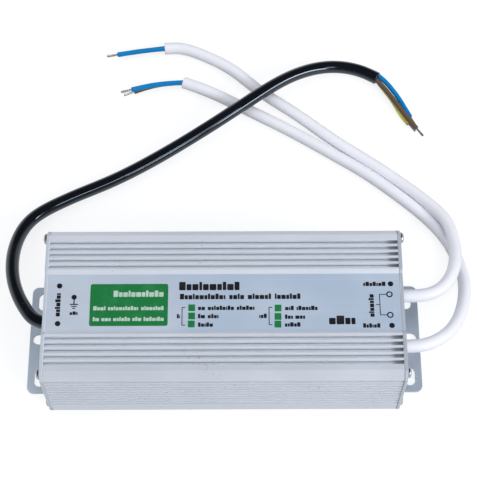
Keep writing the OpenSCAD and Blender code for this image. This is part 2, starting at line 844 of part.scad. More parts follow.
// Room that the heat bars, their pads and packages take up in the potting
module heat_bar_room(x, length, side, places) {
    translate([x - length / 2, min(side * bar_face, side * cavity_w / 2), board_top])
        cube([length, cavity_w / 2 - bar_face, bar_h]);
    at_packages(places, side) translate([-package_w / 2, -package_t, 0])
        cube([package_w, package_t + cut, package_foot + tab_h]);
}

// Room that the ends of the sheaths take up in the potting
module sheath_room() {
    for (y = [-output_y, output_y])
        translate([sheath_x, y, exit_z]) rotate([0, 90, 0]) cylinder(d = output_d, h = sheath_inset);
    at_input_end() translate([sheath_x, 0, exit_z]) rotate([0, 90, 0])
        cylinder(d = input_d, h = sheath_inset);
}

module potting_compound() {
    color([0.30, 0.31, 0.33]) difference() {
        along_case(case_len - 2 * potting_end) cavity_section();
        circuit_board();
        insulating_sheet();
        board_parts_room();
        heat_bar_room(primary_bar_x, primary_bar_len, 1, primary_packages);
        heat_bar_room(secondary_bar_x, secondary_bar_len, -1, secondary_packages);
        sheath_room();
        input_leads();
        output_leads();
    }
}

case_extrusion();
at_input_end() end_plate(input_d, [0]);  // input_end_plate
end_plate(output_d, [-output_y, output_y]);  // output_end_plate
at_input_end() gasket();  // input_gasket
gasket();  // output_gasket
end_plate_screws();
at_input_end() grommet(input_d, 0);  // input_grommet
grommet(output_d, output_y);  // rear_output_grommet
grommet(output_d, -output_y);  // front_output_grommet
color(cable_black) sheath(input_route, input_d);  // input_cable
color(cable_white) sheath(rear_route, output_d);  // rear_output_cable
color(cable_white) sheath(front_route, output_d);  // front_output_cable
color(core_brown) core(live_route, input_route);  // input_live_core
color(core_blue) core(neutral_route, input_route);  // input_neutral_core
color(core_green) core(earth_route, input_route);  // input_earth_core
color(core_brown) core(rear_positive_route, rear_route);  // rear_positive_core
color(core_blue) core(rear_negative_route, rear_route);  // rear_negative_core
color(core_brown) core(front_positive_route, front_route);  // front_positive_core
color(core_blue) core(front_negative_route, front_route);  // front_negative_core
wire_ends();
circuit_board();
insulating_sheet();
input_leads();
output_leads();
fuse();
thermistor();
x_capacitor();
choke_core();
choke_windings();
bridge_rectifier();
bulk_capacitors();
power_transistors();
primary_heat_bar();
thermal_pad(primary_bar_x, primary_bar_len, 1);  // primary_thermal_pad
transformer_core();
transformer_bobbin();
transformer_winding();
y_capacitor();
controller_chip();
optocoupler();
output_rectifiers();
secondary_heat_bar();
thermal_pad(secondary_bar_x, secondary_bar_len, -1);  // secondary_thermal_pad
package_screws();
output_choke_core();
output_choke_winding();
output_capacitors();
potting_compound();
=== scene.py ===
import json
import math

import bmesh
import bpy
import numpy as np
from mathutils import Matrix, Vector
from mathutils.geometry import tessellate_polygon


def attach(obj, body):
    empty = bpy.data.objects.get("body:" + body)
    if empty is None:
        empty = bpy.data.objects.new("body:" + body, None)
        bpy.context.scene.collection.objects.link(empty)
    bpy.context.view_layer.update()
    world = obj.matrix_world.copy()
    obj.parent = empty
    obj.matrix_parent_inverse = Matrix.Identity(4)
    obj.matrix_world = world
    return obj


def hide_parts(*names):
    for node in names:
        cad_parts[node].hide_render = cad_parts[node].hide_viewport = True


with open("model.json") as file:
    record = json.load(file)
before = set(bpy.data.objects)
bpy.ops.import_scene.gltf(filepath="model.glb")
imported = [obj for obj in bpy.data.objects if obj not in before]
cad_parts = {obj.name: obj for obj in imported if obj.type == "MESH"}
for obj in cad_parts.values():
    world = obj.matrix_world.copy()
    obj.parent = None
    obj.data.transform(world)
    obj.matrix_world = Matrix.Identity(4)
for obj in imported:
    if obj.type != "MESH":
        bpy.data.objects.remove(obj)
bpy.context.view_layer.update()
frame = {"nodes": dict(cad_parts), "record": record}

# Everything below is worked out in millimetres and written to the meshes in metres.
MM = 0.001
NODES = frame["nodes"]

# Camera: elevation and roll in degrees, focal length in pixels of a 477 x 479 picture.
PICTURE_H = 479
SENSOR = 36.0
VIEW_ELEVATION = 64.586
VIEW_ROLL = -0.221
VIEW_FOCAL = 1410.78
VIEW_TARGET = (6.457, 50.642, 0.0)
VIEW_DISTANCE = 666.602

# Case, in step with the part's source.
CASE_L, CASE_W, CASE_H = 151.8, 70.0, 45.0
TOP_BEVEL, FOOT_BEVEL = 3.4, 4.5
PANEL_W, PANEL_RECESS = 26.8, 1.3
FIN_PITCH, FIN_GAP, FIN_DEPTH, FIN_COUNT = 2.81, 1.75, 2.0, 5
RIB_PITCH, RIB_GAP, RIB_DEPTH, RIB_COUNT, RIB_TOP = 3.02, 1.5, 1.0, 10, 40.6
SIDE_WALL, TOP_WALL, FLOOR_T = 3.0, 4.0, 2.5
SCREW_Y, SCREW_TOP_Z, SCREW_LOW_Z, PORT_R, PORT_BORE_R = 31.4, 41.6, 6.4, 3.1, 1.3
LEDGE_W, LEDGE_Z = 2.0, 10.4
SEAL_X, PLATE_X, PLATE_T = 76.3, 77.5, 1.2
PANEL_Z = CASE_H - PANEL_RECESS
FINS_Y = PANEL_W / 2 + PANEL_RECESS
GROOVE_START, GROOVE_END = FINS_Y + FIN_PITCH - FIN_GAP, FINS_Y + FIN_COUNT * FIN_PITCH
GROOVE_FLOOR = CASE_H - FIN_DEPTH
EXIT_Z, OUTPUT_Y = 22.0, 12.0
HEAD_R, HEAD_H, SHANK_R, SCREW_L = 2.4, 1.7, 1.25, 9.0

# Cables and cores: outer diameters, the radius and bare length of a strand, then how many sides each kind of
# tube has and the step between its rings.
INPUT_D, OUTPUT_D, CORE_D, STRAND_R, STRAND_L = 6.2, 5.8, 2.4, 0.115, 5.5
SHEATH_SIDES, CORE_SIDES, STRAND_SIDES = 32, 20, 7
SHEATH_STEP, CORE_STEP = 0.8, 0.5


# Mesh helpers

def unit(v):
    """Vectors along the last axis, each divided by its length."""
    return v / np.linalg.norm(v, axis=-1, keepdims=True)


def round_angles(sides):
    """Equal angles once round a circle."""
    return 2 * np.pi * np.arange(sides) / sides


def grid_faces(rows, cols, closed_rows=False, closed_cols=False):
    """Quads of a rows x cols grid of points, numbered row by row. A closed direction joins its last line
    to its first."""
    r = np.arange(rows if closed_rows else rows - 1)
    c = np.arange(cols if closed_cols else cols - 1)
    r, c = np.meshgrid(r, c, indexing="ij")
    r2, c2 = (r + 1) % rows, (c + 1) % cols
    return np.stack([r * cols + c, r * cols + c2, r2 * cols + c2, r2 * cols + c], -1).reshape(-1, 4)


def fan(ring, pole):
    """Triangles from each side of a closed ring of point numbers to one pole."""
    return np.stack([ring, np.roll(ring, -1), np.full(len(ring), pole)], 1).tolist()


def band(a, b):
    """Quads between two closed rings of point numbers."""
    return np.stack([a, b, np.roll(b, -1), np.roll(a, -1)], 1).tolist()


def round_skin(r, h, sides):
    """Points (r cos a, r sin a, h) of level rings round Z. r holds a row of radii for each height in h."""
    a = round_angles(sides)
    return np.stack(np.broadcast_arrays(r * np.cos(a), r * np.sin(a), h[:, None]), -1).reshape(-1, 3)


def add_object(name, data):
    """New object at the origin of the scene."""
    obj = bpy.data.objects.new(name, data)
    bpy.context.scene.collection.objects.link(obj)
    return obj


def piece(name, points, faces, look, smooth=True, uv=None):
    """Mesh object at the origin from points in millimetres and lists of faces. It rides on the body and takes
    the look it is given. uv holds one pair for each point."""
    mesh = bpy.data.meshes.new(name)
    mesh.from_pydata((np.asarray(points) * MM).tolist(), [], [list(f) for f in faces])
    mesh.update()
    mesh.materials.append(look)
    if smooth:
        mesh.shade_smooth()
    else:
        mesh.shade_flat()
    if uv is not None:
        corner = np.zeros(len(mesh.loops), np.int32)
        mesh.loops.foreach_get("vertex_index", corner)
        mesh.uv_layers.new(name="along").data.foreach_set("uv", np.asarray(uv, np.float32)[corner].ravel())
    obj = add_object(name, mesh)
    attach(obj, "root")
    return obj


def join(parts):
    """One list of points and one list of faces from several, with the face numbers moved on."""
    points, faces, start = [], [], 0
    for p, f in parts:
        points.append(np.asarray(p))
        faces += [[i + start for i in face] for face in np.asarray(f, object).tolist()]
        start += len(p)
    return np.vstack(points), faces


def run_length(line):
    """Length along a line from its start to each of its points."""
    return np.concatenate([[0], np.cumsum(np.linalg.norm(np.diff(line, axis=0), axis=1))])


def spline(route, step):
    """Natural cubic spline through the route's points, with chord length as its parameter, cut into equal
    steps: on each span the position is a cubic whose second derivative runs straight from knot to knot,
    and the knots' second derivatives solve one banded system of equations."""
    p = np.array(route, float)
    t = run_length(p)
    h, n = np.diff(t), len(p)
    band = np.diag(np.r_[1, 2 * (h[:-1] + h[1:]), 1])
    band += np.diag(np.r_[0, h[1:]], 1) + np.diag(np.r_[h[:-1], 0], -1)
    slope = np.diff(p, axis=0) / h[:, None]
    bend = np.linalg.solve(band, np.vstack([np.zeros(3), 6 * np.diff(slope, axis=0), np.zeros(3)]))
    s = np.linspace(0, t[-1], int(t[-1] / step) + 1)
    k = np.clip(np.searchsorted(t, s, side="right") - 1, 0, n - 2)
    a = ((t[k + 1] - s) / h[k])[:, None]
    b, hk = 1 - a, h[k][:, None]
    return a * p[k] + b * p[k + 1] + ((a**3 - a) * bend[k] + (b**3 - b) * bend[k + 1]) * hk**2 / 6


def frames(line):
    """Directions along, across and up at each point of a line. Across is level, so nothing twists."""
    along = unit(np.gradient(line, axis=0))
    across = unit(np.cross(along, [0, 0, 1]))
    return along, across, np.cross(across, along)


def swept(line, radius, sides, rim=()):
    """Round tube: the point at angle a on ring i is line + radius * (cos a * across + sin a * up). rim is a
    list of (set back along the line, radius) pairs that carry the skin on past the last ring, and a pole
    closes each end. Returns points, faces and one (angle, length) pair for each point."""
    along, across, up = frames(line)
    n = len(line)
    ring = np.r_[np.arange(n), np.full(len(rim), n - 1)]
    shift = np.r_[np.zeros(n), [-back for back, _ in rim]]
    radii = np.r_[np.broadcast_to(radius, n), [r for _, r in rim]]
    rows, lens = line[ring] + shift[:, None] * along[ring], run_length(line)[ring]
    angle = round_angles(sides)
    cos, sin = np.cos(angle)[None, :, None], np.sin(angle)[None, :, None]
    skin = rows[:, None] + radii[:, None, None] * (cos * across[ring][:, None] + sin * up[ring][:, None])
    n, k = len(rows), np.arange(sides)
    points = np.vstack([skin.reshape(-1, 3), rows[:1], rows[-1:]])
    faces = grid_faces(n, sides, closed_cols=True).tolist()
    faces += fan(k[::-1], n * sides) + fan((n - 1) * sides + k, n * sides + 1)
    uv = np.stack(np.broadcast_arrays(angle[None] / (2 * np.pi), lens[:, None] * MM), -1).reshape(-1, 2)
    return points, faces, np.vstack([uv, [[0, 0], [0, lens[-1] * MM]]])


def eased(corners, radii, steps):
    """Closed outline with each corner rounded: between the two points one radius away on its sides, the
    corner is a quadratic curve that has the corner as its control point."""
    p = np.asarray(corners, float)
    r = np.broadcast_to(np.asarray(radii, float), len(p))[:, None]
    a = p + r * unit(np.roll(p, 1, 0) - p)
    b = p + r * unit(np.roll(p, -1, 0) - p)
    t = np.linspace(0, 1, steps)[None, :, None]
    return ((1 - t)**2 * a[:, None] + 2 * t * (1 - t) * p[:, None] + t**2 * b[:, None]).reshape(-1, 2)


def turned(profile, sides):
    """Surface of revolution round Z of a closed profile of (radius, height) points: (r cos a, r sin a, h)."""
    r, h = np.asarray(profile, float).T
    return round_skin(r[:, None], h, sides), grid_faces(len(r), sides, closed_rows=True, closed_cols=True)


def weld(obj):
    """Joins doubled points, drops what has no area and points every face outwards."""
    dist = 1e-7
    bm = bmesh.new()
    bm.from_mesh(obj.data)
    bmesh.ops.remove_doubles(bm, verts=bm.verts, dist=dist)
    bmesh.ops.dissolve_degenerate(bm, edges=bm.edges, dist=dist)
    bmesh.ops.recalc_face_normals(bm, faces=bm.faces)
    bm.to_mesh(obj.data)
    bm.free()


# Shader groups

def new_group(name, inputs, outputs):
    """Shader node group with inputs (name, value) and outputs by name, all of them single values."""
    g = bpy.data.node_groups.new(name, "ShaderNodeTree")
    for label, value in inputs:
        g.interface.new_socket(label, in_out="INPUT", socket_type="NodeSocketFloat").default_value = value
    for label in outputs:
        g.interface.new_socket(label, in_out="OUTPUT", socket_type="NodeSocketFloat")
    return g, g.nodes.new("NodeGroupInput"), g.nodes.new("NodeGroupOutput")


def feed(tree, socket, value):
    """Links an input to the socket that feeds it, or writes a plain value in it."""
    if isinstance(value, bpy.types.NodeSocket):
        tree.links.new(value, socket)
    else:
        socket.default_value = value


def maths(tree, operation, *operands):
    """Math node. Each operand is a number or a socket."""
    n = tree.nodes.new("ShaderNodeMath")
    n.operation = operation
    for socket, value in zip(n.inputs, operands):
        feed(tree, socket, value)
    return n.outputs[0]


def ramp(tree, value, low, high, to_low=0.0, to_high=1.0):
    """Smooth step of a value from low to high, onto to_low to to_high."""
    n = tree.nodes.new("ShaderNodeMapRange")
    n.interpolation_type = "SMOOTHSTEP"
    tree.links.new(value, n.inputs[0])
    for i, v in zip((1, 2, 3, 4), (low, high, to_low, to_high)):
        n.inputs[i].default_value = v
    return n.outputs[0]


def noise(tree, vector, scale, detail):
    """Noise value on a vector. Scale is a number or a socket."""
    n = tree.nodes.new("ShaderNodeTexNoise")
    tree.links.new(vector, n.inputs["Vector"])
    feed(tree, n.inputs["Scale"], scale)
    n.inputs["Detail"].default_value = detail
    n.inputs["Roughness"].default_value = 0.55
    return n.outputs["Fac"]


def vector_maths(tree, operation, a, b):
    """Vector Math node. Each operand is three numbers or a socket."""
    n = tree.nodes.new("ShaderNodeVectorMath")
    n.operation = operation
    feed(tree, n.inputs[0], a)
    feed(tree, n.inputs[1], b)
    return n.outputs


def stretched(tree, vector, scale):
    """Vector multiplied by a scale for each axis."""
    return vector_maths(tree, "MULTIPLY", vector, scale)["Vector"]


def dot(tree, a, b):
    """Dot product of two vectors."""
    return vector_maths(tree, "DOT_PRODUCT", a, b)["Value"]


def object_vector(tree):
    """Place on the object, in metres."""
    return tree.nodes.new("ShaderNodeTexCoord").outputs["Object"]


def along_vector(tree):
    """Place on the piece's own map: turns round it, and metres along it."""
    n = tree.nodes.new("ShaderNodeUVMap")
    n.uv_map = "along"
    return n.outputs[0]


def split(tree, vector):
    """X, Y and Z of a vector."""
    n = tree.nodes.new("ShaderNodeSeparateXYZ")
    tree.links.new(vector, n.inputs[0])
    return n.outputs[0], n.outputs[1], n.outputs[2]


def make_die_lines():
    """Long faint lines that an extrusion keeps from its die: noise drawn out along X, coarse and fine."""
    g, gin, gout = new_group("die_lines", [("Fineness", 900.0)], ["Lines"])
    where = object_vector(g)
    coarse = noise(g, stretched(g, where, (1.5, 260, 260)), 1.0, 2.0)
    fine = noise(g, stretched(g, where, (0.002, 1, 1)), gin.outputs["Fineness"], 2.0)
    mixed = maths(g, "ADD", maths(g, "MULTIPLY", coarse, 0.45), maths(g, "MULTIPLY", fine, 0.55))
    g.links.new(mixed, gout.inputs["Lines"])
    return g


def make_grain():
    """Fine even grain of a blasted, moulded or cast surface, with a slow cloud of variation."""
    g, gin, gout = new_group("grain", [("Scale", 4000.0), ("Cloud Scale", 60.0)], ["Grain", "Cloud"])
    where = object_vector(g)
    g.links.new(noise(g, where, gin.outputs["Scale"], 2.0), gout.inputs["Grain"])
    g.links.new(noise(g, where, gin.outputs["Cloud Scale"], 3.0), gout.inputs["Cloud"])
    return g


def make_handling():
    """Marks of handling: sparse specks, and thin scratches along two directions, as masks from 0 to 1."""
    g, gin, gout = new_group("handling", [("Amount", 0.5)], ["Specks", "Scratches"])
    where = object_vector(g)
    patch = ramp(g, noise(g, where, 45.0, 2.0), 0.54, 0.68)
    dots = ramp(g, noise(g, where, 900.0, 1.0), 0.66, 0.72)
    specks = maths(g, "MULTIPLY", maths(g, "MULTIPLY", patch, dots), gin.outputs["Amount"])
    g.links.new(specks, gout.inputs["Specks"])
    along = ramp(g, noise(g, stretched(g, where, (60, 1500, 900)), 1.0, 1.0), 0.735, 0.76)
    askew = ramp(g, noise(g, stretched(g, where, (900, 90, 700)), 1.0, 1.0), 0.75, 0.775)
    both = maths(g, "MULTIPLY", maths(g, "MAXIMUM", along, askew), gin.outputs["Amount"])
    g.links.new(both, gout.inputs["Scratches"])
    return g


def make_edge():
    """Mask of worn edges: where the normal averaged over a small radius turns away from the true normal,
    broken up by noise."""
    g, gin, gout = new_group("edge_wear", [("Radius", 0.0004), ("Broken", 300.0)], ["Edge"])
    bevel = g.nodes.new("ShaderNodeBevel")
    bevel.samples = 4
    g.links.new(gin.outputs["Radius"], bevel.inputs["Radius"])
    flat = g.nodes.new("ShaderNodeNewGeometry").outputs["Normal"]
    turned_away = ramp(g, maths(g, "SUBTRACT", 1.0, dot(g, bevel.outputs[0], flat)), 0.02, 0.2)
    rough = ramp(g, noise(g, object_vector(g), gin.outputs["Broken"], 2.0), 0.4, 0.62)
    g.links.new(maths(g, "MULTIPLY", turned_away, rough), gout.inputs["Edge"])
    return g


DIE_LINES, GRAIN, HANDLING, EDGE = make_die_lines(), make_grain(), make_handling(), make_edge()


# Materials

class Finish:
    """One Principled material, with calls that lay colour changes, roughness changes and bumps over it."""

    def __init__(self, name, color, roughness, metallic=0.0, specular=0.5):
        self.material = bpy.data.materials.new(name)
        self.material.use_nodes = True
        self.tree = self.material.node_tree
        self.shader = self.tree.nodes["Principled BSDF"]
        self.color, self.roughness, self.normal = (*color, 1), roughness, None
        for key, value in (("Base Color", self.color), ("Roughness", roughness), ("Metallic", metallic),
                           ("Specular IOR Level", specular)):
            self.shader.inputs[key].default_value = value

    def group(self, tree, **values):
        """Outputs of a shader group, with values for its inputs."""
        n = self.tree.nodes.new("ShaderNodeGroup")
        n.node_tree = tree
        for key, value in values.items():
            n.inputs[key.replace("_", " ")].default_value = value
        return n.outputs

    def tint(self, mask, color, strength=1.0):
        """Mixes a colour in by a mask times a strength."""
        mix = self.tree.nodes.new("ShaderNodeMix")
        mix.data_type = "RGBA"
        feed(self.tree, mix.inputs[0], maths(self.tree, "MULTIPLY", mask, strength))
        feed(self.tree, mix.inputs[6], self.color)
        feed(self.tree, mix.inputs[7], (*color, 1))
        self.color = mix.outputs[2]

    def tint_from(self, value, low, high, color, strength=1.0):
        """Mixes a colour in as a value passes from low to high."""
        self.tint(ramp(self.tree, value, low, high), color, strength)

    def roughen(self, mask, amount):
        """Adds a mask times an amount to the roughness."""
        self.roughness = maths(self.tree, "ADD", maths(self.tree, "MULTIPLY", mask, amount), self.roughness)

    def vary(self, value, amount):
        """Adds a value's difference from a half, times an amount, to the roughness."""
        self.roughen(maths(self.tree, "SUBTRACT", value, 0.5), amount)

    def bump(self, height, distance, strength):
        """Adds a height that tilts the normal, over the heights before it."""
        n = self.tree.nodes.new("ShaderNodeBump")
        for key, value in (("Height", height), ("Distance", distance), ("Strength", strength)):
            feed(self.tree, n.inputs[key], value)
        if self.normal is not None:
            self.tree.links.new(self.normal, n.inputs["Normal"])
        self.normal = n.outputs[0]

    def done(self):
        """Joins the layers to the shader and returns the material."""
        feed(self.tree, self.shader.inputs["Base Color"], self.color)
        feed(self.tree, self.shader.inputs["Roughness"], self.roughness)
        if self.normal is not None:
            self.tree.links.new(self.normal, self.shader.inputs["Normal"])
        return self.material


def shifted(color, times, plus=0.0):
    """Colour times a factor, plus a little, and never above 1."""
    return tuple(min(1.0, c * times + plus) for c in color)


def metal(name, color, roughness, lines=0.0, amount=0.5, wear_strength=0.35):
    """Bare or plated metal: die lines or grain in colour, gloss and bump, bright worn edges and dark specks.
    lines is the strength of the die lines, and amount is how many marks of handling there are."""
    wear, soil = (0.9, 0.9, 0.92), (0.30, 0.27, 0.25)
    f = Finish(name, color, roughness, metallic=1.0)
    grain = f.group(GRAIN, Scale=5200.0, Cloud_Scale=38.0)
    marks = f.group(HANDLING, Amount=amount)
    dark, pale = shifted(color, 0.80), shifted(color, 1.13)
    f.tint_from(grain["Cloud"], 0.35, 0.7, pale, 0.35)
    f.tint_from(grain["Grain"], 0.45, 0.75, dark, 0.35)
    if lines:
        streak = f.group(DIE_LINES, Fineness=2600.0)["Lines"]
        f.tint_from(streak, 0.5, 0.72, dark, lines)
        f.tint_from(streak, 0.5, 0.28, pale, lines)
        f.roughen(ramp(f.tree, streak, 0.35, 0.65, -0.5, 0.5), 0.10 * lines)
        f.bump(streak, 0.00003, 0.6 * lines)
    f.vary(grain["Cloud"], 0.25)
    f.tint(f.group(EDGE, Radius=0.00035, Broken=420.0)["Edge"], wear, wear_strength)
    f.tint(marks["Specks"], soil, 0.8)
    f.tint(marks["Scratches"], pale, 0.5)
    f.bump(grain["Grain"], 0.00002, 0.35)
    return f.done()


def rubber(name, color, roughness=0.7, input_end=None):
    """Dull rubber or filler with a fine grain and a slow cloud of paler bloom. input_end, where given, is a
    paler colour painted over the input half of the case, a painted light."""
    f = Finish(name, color, roughness, specular=0.4)
    grain = f.group(GRAIN, Scale=3000.0, Cloud_Scale=90.0)
    if input_end:
        x, _, _ = split(f.tree, object_vector(f.tree))
        # Painted light: the input half painted paler.
        f.tint_from(x, 5 * MM, -5 * MM, input_end)
    f.tint_from(grain["Cloud"], 0.4, 0.75, shifted(color, 1.7, 0.02), 0.5)
    f.vary(grain["Cloud"], 0.3)
    f.bump(grain["Grain"], 0.00004, 0.5)
    return f.done()


def jacket(name, color, shade, roughness, specular, dust, sheen=(1, 1, 1)):
    """Extruded cable jacket: drawn-out streaks along its own length, a little cloud of shade, dust and
    fine ripple."""
    f = Finish(name, color, roughness, specular=specular)
    f.shader.inputs["Specular Tint"].default_value = (*sheen, 1)
    streak = noise(f.tree, stretched(f.tree, along_vector(f.tree), (22, 30, 1)), 1.0, 2.0)
    grain = f.group(GRAIN, Scale=2600.0, Cloud_Scale=55.0)
    marks = f.group(HANDLING, Amount=0.7)
    f.tint_from(grain["Cloud"], 0.38, 0.72, shade, 0.45)
    f.tint_from(streak, 0.5, 0.75, shade, 0.3)
    f.tint(marks["Specks"], dust, 0.6)
    f.tint(marks["Scratches"], dust, 0.25)
    f.vary(grain["Cloud"], 0.22)
    f.vary(streak, 0.12)
    f.bump(streak, 0.00006, 0.3)
    f.bump(grain["Grain"], 0.00002, 0.25)
    return f.done()


def insulation(name, color, second=None):
    """Core insulation, plain or with a second colour in two stripes along it."""
    f = Finish(name, color, 0.34, specular=0.15)
    grain = f.group(GRAIN, Scale=3500.0, Cloud_Scale=160.0)
    if second:
        turn, _, _ = split(f.tree, along_vector(f.tree))
        wave = maths(f.tree, "SINE", maths(f.tree, "MULTIPLY", turn, 4 * math.pi))
        f.tint_from(wave, -0.03, 0.03, second)
    f.tint_from(grain["Cloud"], 0.4, 0.75, shifted(color, 0.7), 0.4)
    f.vary(grain["Cloud"], 0.25)
    f.bump(grain["Grain"], 0.00002, 0.3)
    return f.done()


def moulded(name, color, roughness):
    """Moulded, dipped, taped or laminated part: grain, cloud and rubbed edges."""
    f = Finish(name, color, roughness)
    grain = f.group(GRAIN, Scale=2200.0, Cloud_Scale=120.0)
    f.tint_from(grain["Cloud"], 0.35, 0.75, shifted(color, 0.75), 0.5)
    f.tint(f.group(EDGE, Radius=0.0004, Broken=350.0)["Edge"], shifted(color, 1.4, 0.05), 0.5)
    f.vary(grain["Cloud"], 0.3)
    f.bump(grain["Grain"], 0.00005, 0.5)
    return f.done()


def ink(name, color):
    """Screen-print ink: an uneven film, thin in places."""
    f = Finish(name, color, 0.55, specular=0.08)
    grain = f.group(GRAIN, Scale=2800.0, Cloud_Scale=220.0)
    f.tint_from(grain["Cloud"], 0.45, 0.8, shifted(color, 1.25, 0.02), 0.5)
    f.tint_from(grain["Grain"], 0.62, 0.8, shifted(color, 1.5, 0.05), 0.35)
    f.vary(grain["Cloud"], 0.2)
    return f.done()


def panel_mask(tree, off, z):
    """Mask of the label panel. off is the distance from the middle of the case."""
    inside = ramp(tree, off, (PANEL_W / 2 + 0.1) * MM, (PANEL_W / 2 - 0.3) * MM)
    above = ramp(tree, z, (PANEL_Z - 1) * MM, (PANEL_Z - 0.4) * MM)
    return maths(tree, "MULTIPLY", inside, above)


def shoulder_painted_shade_mask(tree, y, z):
    """Mask of the flat strip and the bevel along the front of the top, where painted shade darkens it."""
    front = ramp(tree, y, -(GROOVE_END - 0.25) * MM, -(GROOVE_END + 0.75) * MM)
    high = ramp(tree, z, (CASE_H - TOP_BEVEL - 3) * MM, (CASE_H - TOP_BEVEL) * MM)
    return maths(tree, "MULTIPLY", front, high)


def groove_masks(tree, off, z):
    """Masks of the cooling grooves, where light and shade are painted: all that is sunk between the first and
    the last of them, and the corners of their floors."""
    sunk = ramp(tree, z, (CASE_H - 0.15) * MM, (CASE_H - 0.45) * MM)
    start = ramp(tree, off, (GROOVE_START - 0.2) * MM, (GROOVE_START - 0.05) * MM)
    end = ramp(tree, off, (GROOVE_END + 0.25) * MM, (GROOVE_END + 0.05) * MM)
    sunk = maths(tree, "MULTIPLY", maths(tree, "MULTIPLY", sunk, start), end)
    across = maths(tree, "MODULO", maths(tree, "SUBTRACT", off, GROOVE_START * MM), FIN_PITCH * MM)
    across = maths(tree, "ABSOLUTE", maths(tree, "SUBTRACT", across, FIN_GAP / 2 * MM))
    low = ramp(tree, z, (GROOVE_FLOOR + 0.5) * MM, (GROOVE_FLOOR + 0.15) * MM)
    by_wall = ramp(tree, across, (FIN_GAP / 2 - 0.55) * MM, (FIN_GAP / 2 - 0.2) * MM)
    return sunk, maths(tree, "MULTIPLY", low, by_wall)


def case_finish():
    """Satin anodised extrusion: faint die lines, fine grain, pale edges that are partly worn and partly a
    painted highlight, and a few dark scuffs. The flat label panel is smoother and bluer, and a painted
    reflection makes it bluer and darker towards the output end. The front shoulder is painted darker, a
    painted shade. The cooling grooves are painted paler inside, a painted light, with painted shade in the
    corners of their floors and the painted shadow of the end plate over their last few millimetres at the
    output end."""
    f = Finish("satin_anodised_case", (0.66, 0.70, 0.78), 0.50, metallic=0.22)
    x, y, z = split(f.tree, object_vector(f.tree))
    off = maths(f.tree, "ABSOLUTE", y)
    on_panel, (sunk, corner) = panel_mask(f.tree, off, z), groove_masks(f.tree, off, z)
    # The panel's own bluer tone everywhere, plus a painted reflection that deepens it towards the output end.
    towards = ramp(f.tree, x, -75 * MM, 20 * MM, 0.55, 1.0)
    # Last few millimetres of the grooves at the output end, where the end plate's shadow is painted.
    end = ramp(f.tree, x, (CASE_L / 2 - 5.5) * MM, (CASE_L / 2 - 2.8) * MM)
    grain = f.group(GRAIN, Scale=5200.0, Cloud_Scale=30.0)
    marks = f.group(HANDLING, Amount=0.55)
    streak = f.group(DIE_LINES, Fineness=2400.0)["Lines"]
    f.tint(maths(f.tree, "MULTIPLY", on_panel, towards), (0.45, 0.555, 0.71))
    # Painted shade: the front shoulder painted darker than the rest of the top.
    f.tint(shoulder_painted_shade_mask(f.tree, y, z), (0.56, 0.595, 0.665), 0.9)
    f.tint_from(grain["Cloud"], 0.35, 0.7, (0.76, 0.79, 0.86), 0.22)
    f.tint_from(grain["Grain"], 0.45, 0.75, (0.52, 0.55, 0.61), 0.22)
    f.tint_from(streak, 0.52, 0.74, (0.50, 0.53, 0.59), 0.30)
    f.tint_from(streak, 0.48, 0.26, (0.80, 0.83, 0.89), 0.30)
    # Painted light: the walls and floors of the grooves painted paler than the case.
    f.tint(sunk, (0.83, 0.87, 0.93), 0.85)
    # Painted shadow of the end plate over the groove ends at the output end.
    f.tint(maths(f.tree, "MULTIPLY", sunk, end), (0.30, 0.335, 0.38), 0.75)
    # Painted shade in the corners of the groove floors.
    f.tint(maths(f.tree, "MULTIPLY", sunk, corner), (0.20, 0.23, 0.28), 0.72)
    # Pale edges: partly worn metal, partly a painted highlight along the fin edges.
    f.tint(f.group(EDGE, Radius=0.00030, Broken=260.0)["Edge"], (0.86, 0.87, 0.90), 0.40)
    f.tint(marks["Specks"], (0.20, 0.18, 0.17), 0.8)
    f.tint(marks["Scratches"], (0.78, 0.80, 0.84), 0.5)
    f.roughen(on_panel, -0.08)
    f.vary(grain["Cloud"], 0.25)
    f.vary(streak, 0.12)
    f.bump(streak, 0.00002, 0.35)
    f.bump(grain["Grain"], 0.00002, 0.35)
    return f.done()


def plate_finish(name, color, metallic):
    """Rolled sheet of the end plates: a fine rolled grain and some gloss on its faces, and bright bare metal
    on the sheared edges of the upright part and of the flange."""
    f = Finish(name, color, 0.30, metallic=metallic)
    where = object_vector(f.tree)
    _, _, z = split(f.tree, where)
    along, _, up = split(f.tree, f.tree.nodes.new("ShaderNodeNewGeometry").outputs["True Normal"])
    upright_part = ramp(f.tree, z, 1.6 * MM, 2.6 * MM)
    off_face = ramp(f.tree, maths(f.tree, "ABSOLUTE", along), 0.8, 0.3)
    off_flange = ramp(f.tree, maths(f.tree, "ABSOLUTE", up), 0.8, 0.3)
    low = maths(f.tree, "MULTIPLY", off_flange, maths(f.tree, "SUBTRACT", 1.0, upright_part))
    sheared = maths(f.tree, "MAXIMUM", maths(f.tree, "MULTIPLY", off_face, upright_part), low)
    grain = f.group(GRAIN, Scale=4200.0, Cloud_Scale=45.0)
    rolled = noise(f.tree, stretched(f.tree, where, (1400, 30, 1400)), 1.0, 2.0)
    marks = f.group(HANDLING, Amount=0.6)
    f.tint_from(grain["Cloud"], 0.35, 0.7, (0.66, 0.72, 0.81), 0.4)
    f.tint_from(rolled, 0.5, 0.75, (0.49, 0.545, 0.64), 0.4)
    f.tint_from(grain["Grain"], 0.45, 0.75, (0.45, 0.505, 0.59), 0.25)
    f.tint(sheared, (0.52, 0.57, 0.65), 0.85)
    f.tint(f.group(EDGE, Radius=0.00030, Broken=300.0)["Edge"], (0.84, 0.86, 0.90), 0.3)
    f.tint(marks["Specks"], (0.16, 0.15, 0.15), 0.8)
    f.tint(marks["Scratches"], (0.66, 0.69, 0.74), 0.5)
    f.roughen(sheared, 0.25)
    f.vary(grain["Cloud"], 0.25)
    f.bump(rolled, 0.00002, 0.3)
    f.bump(grain["Grain"], 0.00002, 0.3)
    return f.done()


